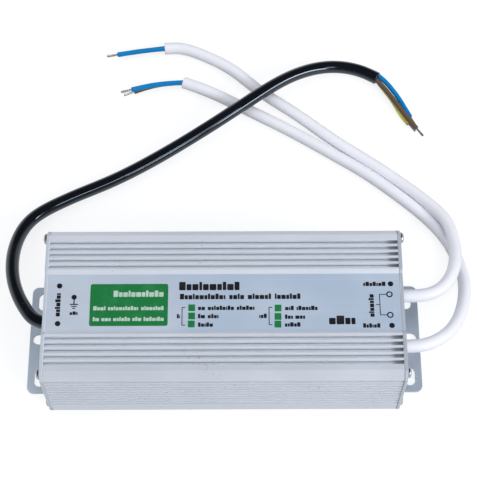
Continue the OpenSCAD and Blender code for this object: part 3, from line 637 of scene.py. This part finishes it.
CASE_METAL = case_finish()
# Lit and shaded copies of one sheet: the input plate is written paler and less metallic, painted light where
# the case shades it.
INPUT_PLATE_PAINTED_LIGHT = plate_finish("input_plate_sheet_painted_light", (0.65, 0.745, 0.86), 0.20)
OUTPUT_PLATE_METAL = plate_finish("output_plate_sheet", (0.51, 0.585, 0.69), 0.40)
SCREW_METAL = metal("plated_screw", (0.38, 0.395, 0.42), 0.33, amount=0.3, wear_strength=0.2)
BAR_METAL = metal("heat_bar_metal", (0.62, 0.64, 0.68), 0.38, lines=0.5)
COPPER_WIRE = metal("enamelled_copper", (0.66, 0.34, 0.16), 0.32, lines=0.2)
TINNED = metal("tinned_strands", (0.66, 0.65, 0.63), 0.32, amount=0.2)
SEAL = rubber("black_seal_rubber", (0.022, 0.022, 0.025))
# The gasket at the input end is painted paler, a painted light; the output end keeps the darker grey.
GASKET = rubber("grey_gasket_rubber", (0.34, 0.36, 0.40), input_end=(0.58, 0.63, 0.70))
POTTING = rubber("grey_potting", (0.075, 0.078, 0.085), 0.6)
PAD = rubber("thermal_pad_rubber", (0.34, 0.45, 0.54), 0.75)
BLACK_JACKET = jacket("black_cable_jacket", (0.0022, 0.0028, 0.0055), (0.004, 0.005, 0.008), 0.085, 0.75,
                      (0.06, 0.06, 0.065), sheen=(0.72, 0.86, 1.0))
WHITE_JACKET = jacket("white_cable_jacket", (0.80, 0.805, 0.865), (0.74, 0.745, 0.82), 0.42, 0.3,
                      (0.70, 0.70, 0.75))
BROWN = insulation("brown_insulation", (0.125, 0.083, 0.062))
BLUE = insulation("blue_insulation", (0.001, 0.20, 0.52))
GREEN_YELLOW = insulation("green_yellow_insulation", (0.06, 0.30, 0.07), (0.72, 0.62, 0.06))
GREEN_INK = ink("green_ink", (0.0105, 0.168, 0.046))
BLACK_INK = ink("black_ink", (0.012, 0.012, 0.016))
WHITE_INK = ink("white_ink", (0.40, 0.53, 0.45))

# Finish of each node that keeps its own mesh, by its slot in the record.
SLOT_FINISHES = {
    "board_laminate": moulded("board_laminate", (0.02, 0.12, 0.05), 0.4),
    "sheet_film": moulded("insulating_film", (0.70, 0.66, 0.50), 0.35),
    "potting": POTTING,
    "package_black": moulded("package_black", (0.012, 0.012, 0.014), 0.55),
    "fuse_cap": moulded("fuse_cap", (0.27, 0.09, 0.035), 0.5),
    "disc_green": moulded("disc_green", (0.025, 0.05, 0.03), 0.6),
    "disc_blue": moulded("disc_blue", (0.012, 0.07, 0.34), 0.6),
    "film_yellow": moulded("film_box_yellow", (0.66, 0.45, 0.035), 0.4),
    "can_sleeve": moulded("can_sleeve_black", (0.015, 0.015, 0.024), 0.3),
    "can_sleeve_green": moulded("can_sleeve_green", (0.02, 0.085, 0.04), 0.3),
    "ferrite": moulded("ferrite_grey", (0.035, 0.035, 0.042), 0.7),
    "powder_core": moulded("powder_core_yellow", (0.55, 0.46, 0.08), 0.5),
    "copper_wire": COPPER_WIRE,
    "winding_tape": moulded("winding_tape", (0.68, 0.48, 0.05), 0.35),
    "bobbin_plastic": moulded("bobbin_plastic", (0.035, 0.03, 0.028), 0.5),
    "bar_aluminium": BAR_METAL,
    "thermal_pad": PAD,
    "brown_insulation": BROWN,
    "blue_insulation": BLUE,
    "screw_steel": SCREW_METAL,
    "gasket_rubber": GASKET,
}
for part in frame["record"]["subparts"]:
    if part["material_slot"] in SLOT_FINISHES:
        NODES[part["node"]].data.materials.clear()
        NODES[part["node"]].data.materials.append(SLOT_FINISHES[part["material_slot"]])


# Camera

def make_camera():
    """Camera at the elevation of the photograph, looking along +Y and down, with a slight roll."""
    e, roll = math.radians(VIEW_ELEVATION), math.radians(VIEW_ROLL)
    forward = Vector((0, math.cos(e), -math.sin(e)))
    level = Vector((1, 0, 0))
    upright = level.cross(forward)
    right = math.cos(roll) * level + math.sin(roll) * upright
    up = -math.sin(roll) * level + math.cos(roll) * upright
    place = (Vector(VIEW_TARGET) - VIEW_DISTANCE * forward) * MM
    data = bpy.data.cameras.new("camera")
    data.sensor_width = SENSOR
    data.lens = VIEW_FOCAL * SENSOR / PICTURE_H
    data.clip_start, data.clip_end = 0.01, 20
    camera = add_object("camera", data)
    turn = Matrix((right, up, -forward)).transposed().to_4x4()
    camera.matrix_world = Matrix.Translation(place) @ turn
    bpy.context.scene.camera = camera


make_camera()

# Cables: points of each centre line, from inside the case to the cut end of the sheath.

INPUT_ROUTE = [
    (-71.9, 0, 22), (-80, 0, 22), (-84, 1.6, 21.6), (-88, 6, 20.4), (-92.5, 14, 18.2), (-96, 24, 15.2),
    (-97.5, 35, 11.8), (-96.5, 47, 8), (-91.5, 58.5, 5), (-80.5, 67.5, 3.4), (-55, 80, 3.2), (-34, 92, 3.4),
    (-14.5, 104, 5.4), (4, 115.5, 8.8), (18, 125.5, 9.6), (34, 137, 7), (54, 144, 3.6), (68, 141.5, 3.2),
    (75.5, 137.5, 3.2)]
REAR_ROUTE = [
    (71.9, 12, 22), (80, 12, 22), (87, 12.2, 21.8), (94, 14.2, 21), (100, 19.5, 19), (104, 27, 16.5),
    (106, 36, 13.5), (106, 46, 10.6), (103.5, 56.5, 8), (97, 66, 5.6), (81, 81.5, 3), (51, 104, 3),
    (34.5, 117.5, 3), (15, 132.5, 3), (4, 142.5, 3), (-12, 152, 3), (-22, 155.5, 3), (-30, 155.5, 3)]
FRONT_ROUTE = [
    (71.9, -12, 22), (80, -12, 22), (87, -11.4, 21.5), (94, -8.3, 19.6), (101, -2, 16), (107, 8.5, 11),
    (110, 20, 6.8), (110.5, 28, 4.4), (109, 36.5, 3.2), (106, 45, 3), (100.5, 54, 3), (94, 61.5, 3),
    (81, 73.5, 3), (66, 85.5, 3), (51, 95.5, 3), (34, 106.5, 3), (12.5, 119, 3), (-14, 133, 3),
    (-20.3, 135.5, 3)]
# For each core: its sheath's route, its place across and up in the sheath's end, and the rest of its route.
CORE_ROUTES = {
    "input_live_core": (INPUT_ROUTE, (1.25, 0.8), [
        (78.1, 132.3, 3.9), (82.5, 125.6, 3.9), (87.9, 116.7, 3.8), (93.4, 108.7, 3.6)]),
    "input_neutral_core": (INPUT_ROUTE, (-1.25, 0.8), [
        (79.4, 135.3, 3.75), (82.9, 131, 2.9), (85.7, 126.8, 2.2), (88.1, 122.4, 1.6), (91, 116.5, 1.4)]),
    "input_earth_core": (INPUT_ROUTE, (0, -1.3), [
        (78.7, 132.6, 1.4), (82.8, 126, 1.3), (87.4, 116.7, 1.3), (90.1, 112.6, 1.3)]),
    "rear_negative_core": (REAR_ROUTE, (-0.5, 1.1), [(-42.6, 153.4, 3.8), (-53.6, 151.6, 3.75)]),
    "rear_positive_core": (REAR_ROUTE, (0.7, -1.1), [(-42.6, 155.1, 1.35), (-53.2, 153.2, 1.3)]),
    "front_negative_core": (FRONT_ROUTE, (-0.6, 1.05), [
        (-30.2, 134.4, 3.8), (-38.1, 133.1, 3.8), (-46, 131.1, 3.75)]),
    "front_positive_core": (FRONT_ROUTE, (0.7, -1.05), [
        (-32.3, 135.4, 1.35), (-38.2, 133.9, 1.3), (-44.9, 131.4, 1.3)]),
}
CORE_LOOKS = {
    "input_live_core": (BROWN, "brown_insulation"), "input_neutral_core": (BLUE, "blue_insulation"),
    "input_earth_core": (GREEN_YELLOW, "green_yellow_insulation"),
    "rear_negative_core": (BLUE, "blue_insulation"), "rear_positive_core": (BROWN, "brown_insulation"),
    "front_negative_core": (BLUE, "blue_insulation"), "front_positive_core": (BROWN, "brown_insulation"),
}


def sheath_line(route):
    """Centre line of a sheath: the spline through its route, never lower than the route's lowest point."""
    line = spline(route, SHEATH_STEP)
    line[:, 2] = np.maximum(line[:, 2], min(p[2] for p in route))
    return line


def core_line(sheath_route, offset, rest):
    """Centre line of a core: from its place in the sheath's end face on through the rest of its route."""
    end, before = np.array(sheath_route[-1], float), np.array(sheath_route[-2], float)
    along = unit(end - before)
    across = unit(np.cross(along, [0, 0, 1]))
    start = end + offset[0] * across + offset[1] * np.cross(across, along)
    return spline([start, *rest], CORE_STEP)


def make_sheath(name, route, diameter, look, node):
    """Jacket swept round its route, with a radius that swells by less than a hundredth, as the product of two
    slow sines of the length. Past the last ring the skin turns over a rounded rim and goes back inside, as
    a stripped jacket's cut end does."""
    r = diameter / 2
    line = sheath_line(route)
    rim = [(-0.12, r - 0.05), (-0.22, r - 0.22), (-0.24, r - 0.45), (-0.12, r - 0.62), (0.5, r - 0.7),
           (1.6, r - 0.75)]
    length = run_length(line)
    swell = r * (1 + 0.008 * np.sin(length / 7.0) * np.sin(length / 19.0))
    points, faces, uv = swept(line, swell, SHEATH_SIDES, rim)
    obj = piece(name, points, faces, look, uv=uv)
    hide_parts(node)
    return obj, line


def make_core(name):
    """Insulation of one core, with a slightly pinched rim where it was stripped."""
    look, slot = CORE_LOOKS[name]
    line, r = core_line(*CORE_ROUTES[name]), CORE_D / 2
    rim = [(-0.08, r - 0.03), (-0.13, r - 0.14), (-0.12, r - 0.32), (0.2, r - 0.5)]
    points, faces, uv = swept(line, r, CORE_SIDES, rim)
    obj = piece(name + "_jacket", points, faces, look, uv=uv)
    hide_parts(name)
    return obj, line


def strand_bundle(line):
    """Bare strands of one core: thin tubes that wind round the core's direction. At the length s, a strand on
    the ring of radius q is at q * (cos(a + twist * s), sin(a + twist * s)). The ring opens a little towards
    the tip, and the strands are cut at slightly uneven lengths."""
    rings = [(0.0, 1), (0.23, 6), (0.43, 11)]
    inside, twist, opening, uneven = 1.2, 0.55, 0.16, 0.03
    along, across, up = (v[-1] for v in frames(line))
    s = np.linspace(-inside, STRAND_L, 26)
    parts = []
    for q, count in rings:
        for k in range(count):
            a = 2 * np.pi * k / count + twist * s + 0.7 * q
            spread = q * (1 + opening * (np.clip(s, 0, None) / STRAND_L)**2)
            reach = s * (1 - uneven * ((k * 7 + count) % 5) / 4)
            path = (line[-1] + reach[:, None] * along + (spread * np.cos(a))[:, None] * across
                    + (spread * np.sin(a))[:, None] * up)
            parts.append(swept(path, STRAND_R, STRAND_SIDES)[:2])
    return join(parts)


def make_wire_ends(name, cores):
    """Bare strands of all the cores of one cable."""
    points, faces = join([strand_bundle(CORE_LINES[c]) for c in cores])
    obj = piece(name, points, faces, TINNED)
    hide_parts("wire_ends")
    return obj


CORES, CORE_LINES = {}, {}
for core in CORE_ROUTES:
    CORES[core], CORE_LINES[core] = make_core(core)

for cable, route, diameter, slot, look, cores in (
        ("input", INPUT_ROUTE, INPUT_D, "black_sheath", BLACK_JACKET,
         ("input_live_core", "input_neutral_core", "input_earth_core")),
        ("rear_output", REAR_ROUTE, OUTPUT_D, "white_sheath", WHITE_JACKET,
         ("rear_negative_core", "rear_positive_core")),
        ("front_output", FRONT_ROUTE, OUTPUT_D, "white_sheath", WHITE_JACKET,
         ("front_negative_core", "front_positive_core"))):
    jacket_piece, middle = make_sheath(cable + "_jacket", route, diameter, look, cable + "_cable")
    tips = make_wire_ends(cable + "_wire_ends", cores)


# Case

def right_corners():
    """Corners of the right half of the case's outline from its foot to the label panel, with the radius that
    eases each. The lip and the root are a groove's outer and inner corners."""
    half, lip, root = CASE_W / 2, 0.22, 0.3
    c = [(half - FOOT_BEVEL, 0, 0.5), (half, FOOT_BEVEL, 0.5)]
    for i in range(RIB_COUNT - 1, -1, -1):
        top = RIB_TOP - i * RIB_PITCH
        c += [(half, top - RIB_GAP, lip), (half - RIB_DEPTH, top - RIB_GAP, root),
              (half - RIB_DEPTH, top, root), (half, top, lip)]
    c += [(half, CASE_H - TOP_BEVEL, 0.45), (half - TOP_BEVEL, CASE_H, 0.45)]
    for i in range(FIN_COUNT - 1, -1, -1):
        near = GROOVE_START + i * FIN_PITCH
        far = near + FIN_GAP
        c += [(far, CASE_H, lip), (far, GROOVE_FLOOR, root), (near, GROOVE_FLOOR, root), (near, CASE_H, lip)]
    c += [(FINS_Y, CASE_H, 0.25), (PANEL_W / 2, PANEL_Z, 0.35)]
    return np.array(c)


def arc(y, z, r, start, end, steps=9):
    """Points of a circle's arc between two angles in degrees."""
    a = np.radians(np.linspace(start, end, steps))
    return np.stack([y + r * np.cos(a), z + r * np.sin(a)], 1)


def cavity_outline():
    """Hollow of the case: from the floor up round the lower screw port, the board ledge, the side wall and
    the upper screw port to the roof, and the same mirrored."""
    wall, roof = CASE_W / 2 - SIDE_WALL, CASE_H - TOP_WALL
    ledge = wall - LEDGE_W
    meet = np.degrees(np.arccos((ledge - SCREW_Y) / PORT_R))
    side = np.degrees(np.arccos((wall - SCREW_Y) / PORT_R))
    top = np.degrees(np.arcsin((roof - SCREW_TOP_Z) / PORT_R))
    right = np.vstack([
        [[SCREW_Y - PORT_R, FLOOR_T]], arc(SCREW_Y, SCREW_LOW_Z, PORT_R, 180, meet),
        [[ledge, LEDGE_Z], [wall, LEDGE_Z]], arc(SCREW_Y, SCREW_TOP_Z, PORT_R, -side, -180 - top)])
    return np.vstack([right, right[::-1] * [-1, 1]])


def make_case():
    """Case carried along X: the outline with every corner eased, the hollow and the four screw bores are
    loops, each loop sweeps one wall, and both ends are filled between the loops. The cut ends of the outline
    are broken by a fine chamfer."""
    c = right_corners()
    both = np.vstack([c, (c * [-1, 1, 1])[::-1]])
    outer = eased(both[:, :2], both[:, 2], 4)
    middle = np.array([0, CASE_H / 2])
    chamfer = 0.12
    loops = [outer, cavity_outline()[::-1]]
    for y in (-SCREW_Y, SCREW_Y):
        for z in (SCREW_LOW_Z, SCREW_TOP_Z):
            loops.append(arc(y, z, PORT_BORE_R, 0, -345, 24))
    half = CASE_L / 2
    points, faces, start = [], [], 0
    ends = {-1: [], 1: []}
    for i, loop in enumerate(loops):
        xs = [-half, -half + chamfer, half - chamfer, half] if i == 0 else [-half, half]
        rows = []
        for x in xs:
            flat = loop
            if i == 0 and abs(x) == half:
                flat = middle + (loop - middle) * (1 - chamfer / np.abs(loop - middle).max(0))
            rows.append(np.column_stack([np.full(len(loop), x), flat]))
        n = len(loop)
        points.append(np.vstack(rows))
        faces += (grid_faces(len(xs), n, closed_cols=True)[:, ::-1] + start).tolist()
        ends[-1].append(start + np.arange(n))
        ends[1].append(start + (len(xs) - 1) * n + np.arange(n))
        start += len(xs) * n
    points = np.vstack(points)
    for side in (-1, 1):
        index = np.concatenate(ends[side])
        fill = tessellate_polygon([[Vector((*points[j][1:], 0)) for j in loop] for loop in ends[side]])
        tris = index[np.array(fill)]
        a, b, d = (points[tris[:, k]][:, 1:] for k in range(3))
        turn = np.sign((b - a)[:, 0] * (d - a)[:, 1] - (b - a)[:, 1] * (d - a)[:, 0])
        tris = np.where((turn * side > 0)[:, None], tris, tris[:, ::-1])
        faces += tris.tolist()
    obj = piece("finned_case", points, faces, CASE_METAL, smooth=False)
    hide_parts("case_extrusion")
    weld(obj)


make_case()


# End plates, screws and grommets

def make_end_plate(node, look):
    """Copy of the sheet's solid with its sharp punched edges eased by a fine bevel."""
    mesh = NODES[node].data.copy()
    obj = add_object(node.replace("_end_plate", "_plate"), mesh)
    bm = bmesh.new()
    bm.from_mesh(mesh)
    bmesh.ops.remove_doubles(bm, verts=bm.verts, dist=1e-6)
    bmesh.ops.dissolve_limit(bm, angle_limit=math.radians(1), verts=bm.verts, edges=bm.edges)
    bm.to_mesh(mesh)
    bm.free()
    mesh.materials.clear()
    mesh.materials.append(look)
    ease = obj.modifiers.new("eased_edges", "BEVEL")
    ease.width, ease.segments, ease.limit_method = 0.00016, 2, "ANGLE"
    ease.angle_limit = math.radians(35)
    mesh.shade_flat()
    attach(obj, "root")
    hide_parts(node)


make_end_plate("input_end_plate", INPUT_PLATE_PAINTED_LIGHT)
make_end_plate("output_end_plate", OUTPUT_PLATE_METAL)


def screw_head():
    """Pan head on a square grid bent onto a disc: x = u * sqrt(1 - v * v / 2), y likewise, times the head's
    radius. Height is a dome that falls with the 2.6th power of the radius, less a cross recess that is a
    product of smooth steps across and along each arm. The grid's lines crowd at the recess's edges."""
    arm, long, ease = 0.19, 0.60, 0.025
    marks = np.array([arm - ease, arm + ease, long - 2 * ease, long + ease])
    inner = np.r_[np.linspace(0, arm - ease, 4), arm, np.linspace(arm + ease, long - 2 * ease, 7), long,
                  np.linspace(long + ease, 1, 8)]
    u = np.unique(np.round(np.r_[-inner, inner, -marks, marks], 6))
    gx, gy = np.meshgrid(u, u, indexing="ij")
    x, y = gx * np.sqrt(1 - gy**2 / 2), gy * np.sqrt(1 - gx**2 / 2)
    r = np.hypot(x, y)

    def step(v, edge):
        """Smooth fall from 1 to 0 as v passes an edge."""
        t = np.clip((edge + ease - v) / (2 * ease), 0, 1)
        return t * t * (3 - 2 * t)

    ax, ay = np.abs(x), np.abs(y)
    cross = np.maximum(step(ax, arm) * step(ay, long), step(ay, arm) * step(ax, long))
    dome = HEAD_H * (0.42 + 0.58 * np.maximum(1 - r**2.6, 0)**0.75)
    z = dome - 0.62 * HEAD_H * cross * (1 - 0.35 * r)
    top = np.stack([x * HEAD_R, y * HEAD_R, z], -1).reshape(-1, 3)
    n = len(u)
    k = np.arange(n)
    ring = np.r_[k[:-1] * n, (n - 1) * n + k[:-1], k[:0:-1] * n + n - 1, k[:0:-1]]
    rim = top[ring]
    skirt = [rim * [1.0, 1.0, 0.5], rim * [1, 1, 0] + [0, 0, 0.12], rim * [0.96, 0.96, 0]]
    points = np.vstack([top] + skirt + [[[0, 0, 0]]])
    faces = grid_faces(n, n).tolist()
    m = len(ring)
    lines = [ring] + [n * n + i * m + np.arange(m) for i in range(len(skirt))]
    for a, b in zip(lines[:-1], lines[1:]):
        faces += band(a, b)
    return points, faces + fan(lines[-1][::-1], len(points) - 1)


def screw_shank():
    """Threaded shank: radius = SHANK_R - ridge * triangle wave of (height / pitch - angle / turn), tapered at
    the tip."""
    pitch, ridge, sides = 0.5, 0.09, 24
    h = np.linspace(0.0, -SCREW_L, 145)
    wave = np.abs(((h[:, None] / pitch - round_angles(sides) / (2 * np.pi)) % 1) * 2 - 1)
    taper = np.clip((h + SCREW_L) / 1.2, 0.45, 1)[:, None]
    skin = round_skin((SHANK_R - ridge * wave) * taper, h, sides)
    faces = grid_faces(len(h), sides, closed_cols=True)[:, ::-1].tolist()
    faces += [list(range(sides)), list(range(len(h) * sides - 1, (len(h) - 1) * sides - 1, -1))]
    return skin, faces


def make_screws():
    """All eight end plate screws, each turned to its own angle about its axis."""
    one, faces = join([screw_head(), screw_shank()])
    parts = []
    turns = iter((0.3, 1.1, 0.75, 0.1, 0.95, 0.5, 1.3, 0.62))
    for side in (-1, 1):
        for y in (-SCREW_Y, SCREW_Y):
            for z in (SCREW_LOW_Z, SCREW_TOP_Z):
                t = next(turns)
                px = one[:, 0] * math.cos(t) - one[:, 1] * math.sin(t)
                py = one[:, 0] * math.sin(t) + one[:, 1] * math.cos(t)
                placed = np.stack([side * (PLATE_X + one[:, 2]), y + side * px, z + py], 1)
                parts.append((placed, faces))
    points, faces = join(parts)
    obj = piece("plate_screws", points, faces, SCREW_METAL)
    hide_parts("end_plate_screws")
    weld(obj)


make_screws()


def make_grommet(name, side, y, cable_d, node):
    """Rubber bush turned round the cable's axis: a closed profile of bore, lips and neck, with eased
    corners."""
    bore = cable_d / 2 + 0.1
    neck, lip, lip_t = bore + 1.3, bore + 2.5, 1.2
    corners = [(bore, -lip_t), (lip, -lip_t), (lip, 0), (neck, 0), (neck, PLATE_T), (lip, PLATE_T),
               (lip - 0.6, PLATE_T + lip_t), (bore, PLATE_T + lip_t)]
    profile = eased(corners, [0.12, 0.3, 0.05, 0.05, 0.05, 0.05, 0.35, 0.2], 5)
    points, faces = turned(profile, 48)
    placed = np.stack([side * (SEAL_X + points[:, 2]), y + points[:, 0], EXIT_Z + points[:, 1]], 1)
    obj = piece(name, placed, faces.tolist(), SEAL)
    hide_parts(node)
    weld(obj)


make_grommet("input_bush", -1, 0, INPUT_D, "input_grommet")
make_grommet("rear_output_bush", 1, OUTPUT_Y, OUTPUT_D, "rear_output_grommet")
make_grommet("front_output_bush", 1, -OUTPUT_Y, OUTPUT_D, "front_output_grommet")


# Print on the label panel

INK_LOW, INK_HIGH = PANEL_Z - 0.02, PANEL_Z + 0.03
THIN_LINE = 0.34


def bar(x0, x1, y, height, corner):
    """Outline of a level bar with round corners."""
    low, high = y - height / 2, y + height / 2
    return eased([(x0, low), (x1, low), (x1, high), (x0, high)], min(corner, height / 2 - 0.01), 6)


def upright(x, y0, y1, width, corner):
    """Outline of an upright bar with round corners."""
    return bar(x - width / 2, x + width / 2, (y0 + y1) / 2, y1 - y0, min(corner, width / 2 - 0.01))


def word(x0, x1, y, height, shift=0, turn=False):
    """Outlines of a row of letter-sized blocks from x0 to x1: tall and short ones on one base line, which
    spell nothing. A turned row runs upwards, with y as its middle across."""
    tall = np.array([1.0, 0.74, 0.74, 1.0, 0.74, 0.74, 0.74, 1.0, 0.74])
    wide = np.array([1.0, 0.8, 0.95, 0.5, 0.9, 1.05, 0.75, 0.6])
    count = max(2, int(round((x1 - x0) / (0.66 * height))))
    k = np.arange(count) + shift
    share = wide[k % len(wide)]
    edges = x0 + (x1 - x0) * np.r_[0, np.cumsum(share)] / share.sum()
    gap = 0.1 * height
    rows = [bar(a, b - gap, y - height / 2 + height * t / 2, height * t, 0.12 * height)
            for a, b, t in zip(edges[:-1], edges[1:], tall[k % len(tall)])]
    return [np.stack([2 * y - r[:, 1], r[:, 0]], 1) for r in rows] if turn else rows


def bracket(x, y0, y1, low_end, high_end):
    """Outlines of a thin upright line with a level arm at its foot and one at its head."""
    half = THIN_LINE / 2
    return [upright(x, y0, y1, THIN_LINE, 0.1), bar(x + half, low_end, y0 + half, THIN_LINE, 0.1),
            bar(x + half, high_end, y1 - half, THIN_LINE, 0.1)]


def disc(x, y, r):
    """Outline of a dot."""
    return arc(x, y, r, 0, 345, 24)


def ink_plates(outlines, low=INK_LOW, high=INK_HIGH):
    """Thin plates of ink, one for each outline: the top runs from the outline in to its middle, a wall runs
    down to the panel, and the foot closes it."""
    parts = []
    for loop in outlines:
        n, mid = len(loop), loop.mean(0)
        level = [np.column_stack([loop, np.full(n, z)]) for z in (high, low)]
        points = np.vstack(level + [[[*mid, high], [*mid, low]]])
        k = np.arange(n)
        parts.append((points, fan(k, 2 * n) + band(k, k + n) + fan(k[::-1] + n, 2 * n + 1)))
    return parts


def ink_ring(x, y, outer, inner):
    """Flat ring of ink: a closed rectangle of (radius, height) turned round its middle."""
    profile = [(inner, INK_LOW), (outer, INK_LOW), (outer, INK_HIGH), (inner, INK_HIGH)]
    points, faces = turned(profile, 28)
    return points + [x, y, 0], faces.tolist()


def make_print(name, look, parts):
    """One colour of print, joined from its plates of ink."""
    points, faces = join(parts)
    weld(piece(name, points, faces, look, smooth=False))


# Fields: one wide, and six small squares by their middles.
GREEN_FIELDS = [bar(-57.4, -23.9, -0.95, 19.5, 1.0)]
GREEN_FIELDS += [bar(x - 1.45, x + 1.45, y, 3.1, 0.2) for x, y in (
    (-13.7, -2.4), (-13.7, -6.2), (-13.8, -9.9), (23.3, -2.7), (23.2, -6.6), (23.1, -10.1))]
make_print("green_print", GREEN_INK, ink_plates(GREEN_FIELDS))

# Rows of blocks: start, end and middle, and for the black ones also the height.
WHITE_WORDS = word(-47.4, -25.6, 4.2, 2.9)
for i, (a, b, y) in enumerate((
        (-55.9, -50.4, -2.5), (-49.6, -36.4, -2.5), (-35.4, -25.6, -2.5), (-55.9, -53.0, -7.5),
        (-52.2, -48.0, -7.5), (-47.2, -39.8, -7.5), (-39.0, -35.0, -7.5), (-34.2, -25.4, -7.5))):
    WHITE_WORDS += word(a, b, y, 1.9, i)
make_print("white_print", WHITE_INK, ink_plates(WHITE_WORDS, INK_HIGH - 0.01, INK_HIGH + 0.03))

BLACK_MARKS = word(-19.2, 7.2, 7.7, 3.9)
for i, (a, b, y, height) in enumerate((
        (-18.8, 1.0, 2.8, 2.6), (2.4, 9.0, 2.8, 2.6), (10.4, 20.6, 2.8, 2.6), (22.0, 33.2, 2.8, 2.6),
        (-11.0, -7.8, -2.5, 2.0), (-6.8, 4.6, -2.5, 2.0), (5.6, 13.4, -2.5, 2.0), (-11.0, -7.8, -6.3, 2.0),
        (-6.8, -2.0, -6.3, 2.0), (-10.9, -4.4, -10.2, 2.0), (26.3, 30.2, -2.7, 2.0), (31.2, 40.4, -2.7, 2.0),
        (26.2, 29.8, -6.7, 2.0), (30.6, 35.0, -6.7, 2.0), (26.1, 32.9, -10.3, 2.0), (60.2, 70.0, 8.4, 2.0),
        (59.4, 66.9, -10.9, 2.0), (-65.9, -62.3, -4.7, 1.6), (-20.0, -18.4, -6.3, 2.0),
        (15.2, 18.6, -6.3, 2.0), (45.0, 56.6, -8.3, 4.0))):
    BLACK_MARKS += word(a, b, y, height, i)
BLACK_MARKS += word(-6.9, 3.8, 63.3, 2.3, 2, turn=True) + word(-6.2, 4.8, -71.2, 2.3, 5, turn=True)
BLACK_MARKS += bracket(-17.8, -10.6, -2.1, -16.4, -16.4) + bracket(19.4, -10.5, -2.2, 20.8, 20.8)
BLACK_MARKS += bracket(67.0, -6.2, 3.65, 69.9, 70.0) + [bar(65.3, 66.83, -1.2, THIN_LINE, 0.1)]
BLACK_MARKS += [disc(x, y, 1.2) for x, y in ((-70.8, 8.0), (-70.8, -9.5), (72.0, 8.4), (71.7, -10.9))]
BLACK_MARKS += [disc(-64.3, 2.7, 1.15), upright(-64.25, -0.4, 1.65, 0.5, 0.1),
                bar(-66.0, -62.5, -0.65, 0.5, 0.1), bar(-65.4, -63.1, -1.6, 0.45, 0.1),
                bar(-64.85, -63.65, -2.5, 0.45, 0.1)]
RINGS = [ink_ring(71.3, 3.5, 1.4, 0.85), ink_ring(71.2, -6.05, 1.4, 0.85)]
make_print("black_print", BLACK_INK, ink_plates(BLACK_MARKS) + RINGS)


# Floor and light

# Brightness of the ceiling in reflections, and of the soft light from its dark side and its bright side, with
# the direction of the bright side.
CEILING, WORLD_LIGHT, BRIGHT_SIDE = 0.08, (0.165, 1.04), (-0.42, 0.20, 0.885)
# The point that the lamps face, in millimetres, and their colour.
LAMP_AIM, LAMP_COLOR = (0, 20, 20), (0.98, 0.99, 1.0)


def make_floor():
    """Wide level sheet just below the driver. It takes the driver's shadow, and for the camera and for gloss
    it has enough glow of its own to read as white paper."""
    size, low = 2500.0, -0.3
    u = np.linspace(-1, 1, 5)
    gx, gy = np.meshgrid(u, u, indexing="ij")
    points = np.stack([gx * size, gy * size, np.full(gx.shape, low)], -1).reshape(-1, 3) * MM
    mesh = bpy.data.meshes.new("floor")
    mesh.from_pydata(points.tolist(), [], grid_faces(5, 5)[:, ::-1].tolist())
    mat = bpy.data.materials.new("white_paper")
    mat.use_nodes = True
    tree = mat.node_tree
    shader = tree.nodes["Principled BSDF"]
    shader.inputs["Base Color"].default_value = (0.25, 0.25, 0.25, 1)
    shader.inputs["Roughness"].default_value = 0.9
    shader.inputs["Specular IOR Level"].default_value = 0.0
    path = tree.nodes.new("ShaderNodeLightPath")
    seen = maths(tree, "MAXIMUM", path.outputs["Is Camera Ray"], path.outputs["Is Glossy Ray"])
    seen = maths(tree, "MAXIMUM", seen, path.outputs["Is Transmission Ray"])
    shader.inputs["Emission Color"].default_value = (0.985, 0.99, 1, 1)
    tree.links.new(maths(tree, "MULTIPLY", seen, 0.80), shader.inputs["Emission Strength"])
    mesh.materials.append(mat)
    floor = add_object("floor", mesh)


def area_light(name, place, width, height, power):
    """Oblong lamp at a place in millimetres, turned to face the driver."""
    data = bpy.data.lights.new(name, "AREA")
    data.shape, data.size, data.size_y = "RECTANGLE", width * MM, height * MM
    data.energy, data.color = power, LAMP_COLOR
    lamp = add_object(name, data)
    lamp.location = Vector(place) * MM
    lamp.rotation_euler = (Vector(LAMP_AIM) - Vector(place)).to_track_quat("-Z", "Y").to_euler()


def make_world():
    """Soft light from all round, stronger from above and the left. The camera sees white past the floor, and
    reflections see white round about and a darker ceiling."""
    world = bpy.data.worlds.new("studio")
    bpy.context.scene.world = world
    world.use_nodes = True
    tree = world.node_tree
    back = tree.nodes["Background"]
    path = tree.nodes.new("ShaderNodeLightPath")
    mirrored = maths(tree, "MAXIMUM", path.outputs["Is Glossy Ray"], path.outputs["Is Transmission Ray"])
    straight = path.outputs["Is Camera Ray"]
    coords = tree.nodes.new("ShaderNodeTexCoord").outputs["Generated"]
    _, _, height = split(tree, coords)
    ceiling = ramp(tree, height, 0.02, 0.5, 1.0, CEILING)
    shown = maths(tree, "ADD", straight, maths(tree, "MULTIPLY", mirrored, ceiling))
    unseen = maths(tree, "SUBTRACT", 1.0, maths(tree, "MAXIMUM", mirrored, straight))
    back.inputs["Color"].default_value = (0.97, 0.985, 1.0, 1)
    soft = ramp(tree, dot(tree, coords, BRIGHT_SIDE), 0.0, 0.9, *WORLD_LIGHT)
    strength = maths(tree, "ADD", shown, maths(tree, "MULTIPLY", unseen, soft))
    tree.links.new(strength, back.inputs["Strength"])


make_floor()
make_world()
area_light("key_right", (1614, -1028, 1001), 1584, 540, 33.3)
area_light("strip_front", (849, -1149, 1625), 620, 300, 4.5)
bpy.context.scene.view_settings.view_transform = "Standard"
